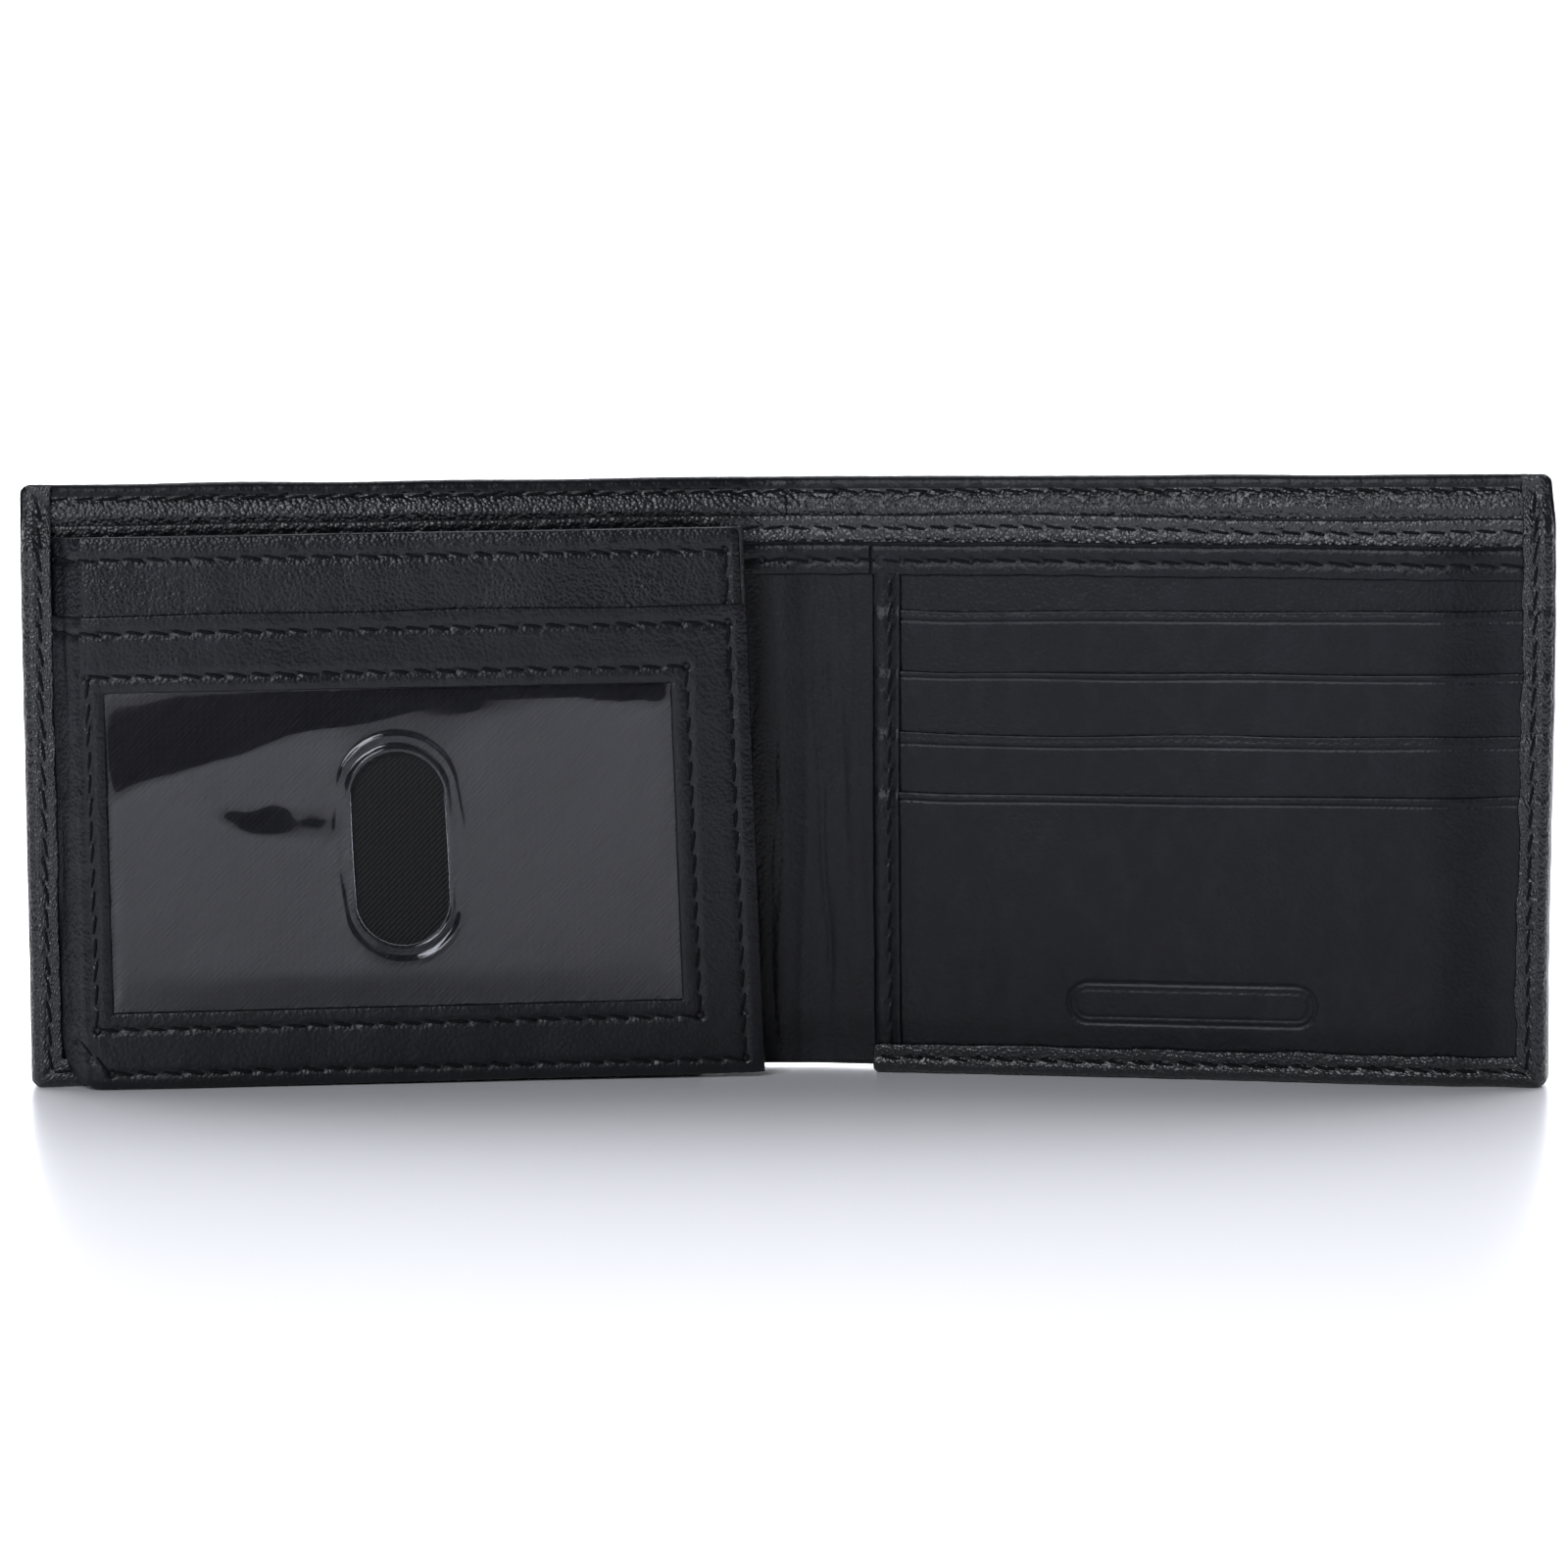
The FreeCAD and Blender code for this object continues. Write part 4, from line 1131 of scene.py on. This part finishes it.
def build_film():
    """Clear film: rings of points from the thumb hole out to the edge."""
    around = 200
    angle = np.linspace(0, math.tau, around + 1)
    radius = THUMB_SIZE[0] / 2
    straight = THUMB_SIZE[1] / 2 - radius
    c, s = np.cos(angle), np.sin(angle)
    oval = np.stack([radius * c, radius * s + straight * np.clip(s * 6, -1, 1)], -1)
    low = np.array([WINDOW_A[0] - FILM_MARGIN_HINGE, WINDOW_Z[0] - FILM_MARGIN])
    high = np.array([WINDOW_A[1] + FILM_MARGIN, WINDOW_Z[1] + FILM_MARGIN])
    centre = np.array([THUMB_A, THUMB_Z])
    reach = np.minimum(*(
        np.where(way > 0, (high[k] - centre[k]) / np.maximum(way, 1e-9),
                 (centre[k] - low[k]) / np.maximum(-way, 1e-9))
        for k, way in ((0, c), (1, s))
    ))
    outer = np.stack([c * reach, s * reach], -1)
    out_mm = np.concatenate([np.arange(0, ROUND_HOLE, 0.16), np.linspace(3.8, 45, 60)])
    share = (out_mm - ROUND_HOLE) / (45 - ROUND_HOLE)
    unit = oval / np.linalg.norm(oval, axis=1, keepdims=True)
    near = oval[None] + np.minimum(out_mm, ROUND_HOLE)[:, None, None] * unit[None]
    ring = near + np.clip(share, 0, 1)[:, None, None] * (outer - oval - ROUND_HOLE * unit)[None]
    ct, st = math.cos(THUMB_TILT), math.sin(THUMB_TILT)
    tilt = (1 - np.clip(share, 0, 1))[:, None]
    x = ring[..., 0] + tilt * (ring[..., 0] * (ct - 1) - ring[..., 1] * st)
    z = ring[..., 1] + tilt * (ring[..., 0] * st + ring[..., 1] * (ct - 1))
    A, Z = centre[0] + x, centre[1] + z
    T = 8.85 + film_wave(A, Z)
    grid = np.stack([A, T, Z], -1)
    ridge = bump(out_mm, 0.55, 0.35) + 0.9 * bump(out_mm, 2.5, 0.4) - 0.5 * bump(out_mm, 1.5, 0.35)
    grid[..., 1] += (0.3 * ridge)[:, None]
    piece = leaf("flap_window_film_clear", FLAP, grid, 0.2, FILM, 0.0, (1, 1, 0, 0), 0.12, ring=True)
    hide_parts("flap_window_film")
    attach(piece, "flap")


def build_flap_back():
    """Back panel, its card slots and their bags, and the cloth behind the window."""
    a = stations(5.9, FLAP_END, 1.2)
    z = stations(*FLAP_Z, 1.2)
    A, Z = np.meshgrid(a, z, indexing="ij")
    edge = np.minimum(np.minimum(FLAP_END - A, FLAP_Z[1] - Z), Z - FLAP_Z[0])
    grid = np.stack([A, 8.1 + 0.2 * (1 - smooth(edge / 1.5)), Z], -1)
    lift = ripples(A, Z, 91, 20, 0.04)
    panel = leaf("flap_back_panel_leather", FLAP, grid, 0.4, LEATHER, lift, radius=0.24,
                 toward=(0, -1, 0), grain=0.5)
    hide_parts("flap_back_panel")
    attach(panel, "flap")
    cloth_z = (2.0, FRAME_TOP - 7)
    cloth = leaf("flap_window_backing_cloth", FLAP,
                 flat_grid(stations(6.0, FLAP_END - 1, 1.5), stations(*cloth_z, 1.5), 8.42), 0.15,
                 WINDOW_LINING, radius=0.1)
    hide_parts("flap_window_backing")
    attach(cloth, "flap")
    build_flap_back_slots()


def build_flap_back_slots():
    bag_low = to_flat("flap_back_bags", True)[0][2]
    for i in range(3):
        low, high = to_flat(f"flap_back_slot_{i + 1}", True)
        a = stations(low[0] + HINGE_U, high[0] + HINGE_U, 1.0)
        z = stations(low[2], high[2], 0.9, [(high[2] - 1.75, 0.8, 0.15)])
        middle = (low[1] + high[1]) / 2
        grid = flat_grid(a, z, middle)
        A, Z = grid[..., 0], grid[..., 2]
        lift = -0.1 * bump(Z, high[2] - 1.75, 0.24) + ripples(A, Z, 95 + i, 24, 0.03)
        mouth = smooth((Z - high[2] + 7) / 7)
        grid[..., 2] += mouth * ripples(A, 0 * A, 98 + i, 38, 0.1)
        piece = leaf(f"flap_back_slot_{i + 1}_leather", FLAP, grid, high[1] - low[1], SKIVED, lift,
                     radius=0.2, toward=(0, -1, 0), grain=0.35)
        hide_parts(f"flap_back_slot_{i + 1}")
        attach(piece, "flap")
        if i < 2:
            top = low[2] - 0.05
            zs = stations(bag_low, top, 6)
            grid = flat_grid(stations(a[0] + 0.5, a[-1] - 0.5, 6), zs, middle)
            bag = leaf(f"flap_back_bag_{i + 1}", FLAP, grid, 0.12, LINING, radius=0.1)
            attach(bag, "flap")
    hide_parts("flap_back_bags")


# ---------------------------------------------------------------- studio
CAMERA_AT = (43.9, -743.9, 107.8)
CAMERA_YAW = 3.38
CAMERA_PITCH = 4.87
CAMERA_ROLL = -0.494
KEY_POWER, SIDE_POWER = 9, 0.35
LAMP_COLOUR = (0.92, 0.94, 1.0)
WORLD_FRONT, WORLD_BACK = 0.05, 3.4


def build_camera():
    data = bpy.data.cameras.new("camera")
    data.lens = 115
    data.sensor_width = 36
    camera = bpy.data.objects.new("camera", data)
    camera.location = Vector(CAMERA_AT) * MM
    look = Euler((math.radians(90 - CAMERA_PITCH), 0, math.radians(CAMERA_YAW)), "XYZ").to_matrix()
    roll = Euler((0, 0, math.radians(CAMERA_ROLL)), "XYZ").to_matrix()
    camera.rotation_euler = (look @ roll).to_euler()
    data.clip_start, data.clip_end = 0.05, 20
    bpy.context.scene.collection.objects.link(camera)
    bpy.context.scene.camera = camera


def build_floor():
    material, tree, shader = new_material("studio_floor")
    set_inputs(shader, Base_Color=(0.9, 0.9, 0.92, 1), Roughness=0.3, Specular_IOR_Level=0.3)
    reach = 8.0
    mesh = bpy.data.meshes.new("floor")
    corners = [(-reach, -reach, 0), (reach, -reach, 0), (reach, reach, 0), (-reach, reach, 0)]
    mesh.from_pydata(corners, [], [(0, 1, 2, 3)])
    mesh.materials.append(material)
    floor = bpy.data.objects.new("floor", mesh)
    bpy.context.scene.collection.objects.link(floor)


def area_light(name, at, aim, size, power):
    data = bpy.data.lights.new(name, "AREA")
    data.shape = "RECTANGLE"
    data.size, data.size_y = size
    data.energy = power
    data.color = LAMP_COLOUR
    lamp = bpy.data.objects.new(name, data)
    lamp.location = at
    lamp.rotation_euler = (Vector(aim) - Vector(at)).to_track_quat("-Z", "Y").to_euler()
    bpy.context.scene.collection.objects.link(lamp)


def build_world():
    """Pale surroundings: white behind the wallet, dim in front of it."""
    world = bpy.data.worlds.new("studio")
    bpy.context.scene.world = world
    world.use_nodes = True
    tree = world.node_tree
    background = tree.nodes["Background"]
    direction = add_node(tree, "ShaderNodeTexCoord").outputs["Generated"]
    parts = add_node(tree, "ShaderNodeSeparateXYZ", {0: direction})
    strength = ramp(tree, parts.outputs["Y"], 0.0, 0.5, WORLD_FRONT, WORLD_BACK)
    tree.links.new(strength, background.inputs["Strength"])
    background.inputs["Color"].default_value = (0.94, 0.95, 1.0, 1)


def build_studio():
    build_camera()
    build_floor()
    build_world()
    area_light("key", (-0.36, -1.08, 0.66), (0.06, 0, 0.08), (0.5, 0.75), KEY_POWER)
    area_light("side", (0.62, -1.0, 0.62), (-0.05, 0, 0.06), (0.4, 0.5), SIDE_POWER)
    bpy.context.scene.view_settings.view_transform = "Standard"


# ---------------------------------------------------------------- build
def build_half(half):
    build_shell(half)
    build_band(half)
    build_sheets(half)
    build_inner_panel(half)
    build_divider_hem(half)
    build_binding(half)
    build_slip_pocket(half)
    build_card_slots(half)
    build_card_bags(half)
    build_stitching(half)
    build_strip_stitching(half)


build_studio()
build_half(RIGHT)
build_half(LEFT)
build_flap_frame()
build_flap_top_panel()
build_flap_stitching()
build_film()
build_flap_back()
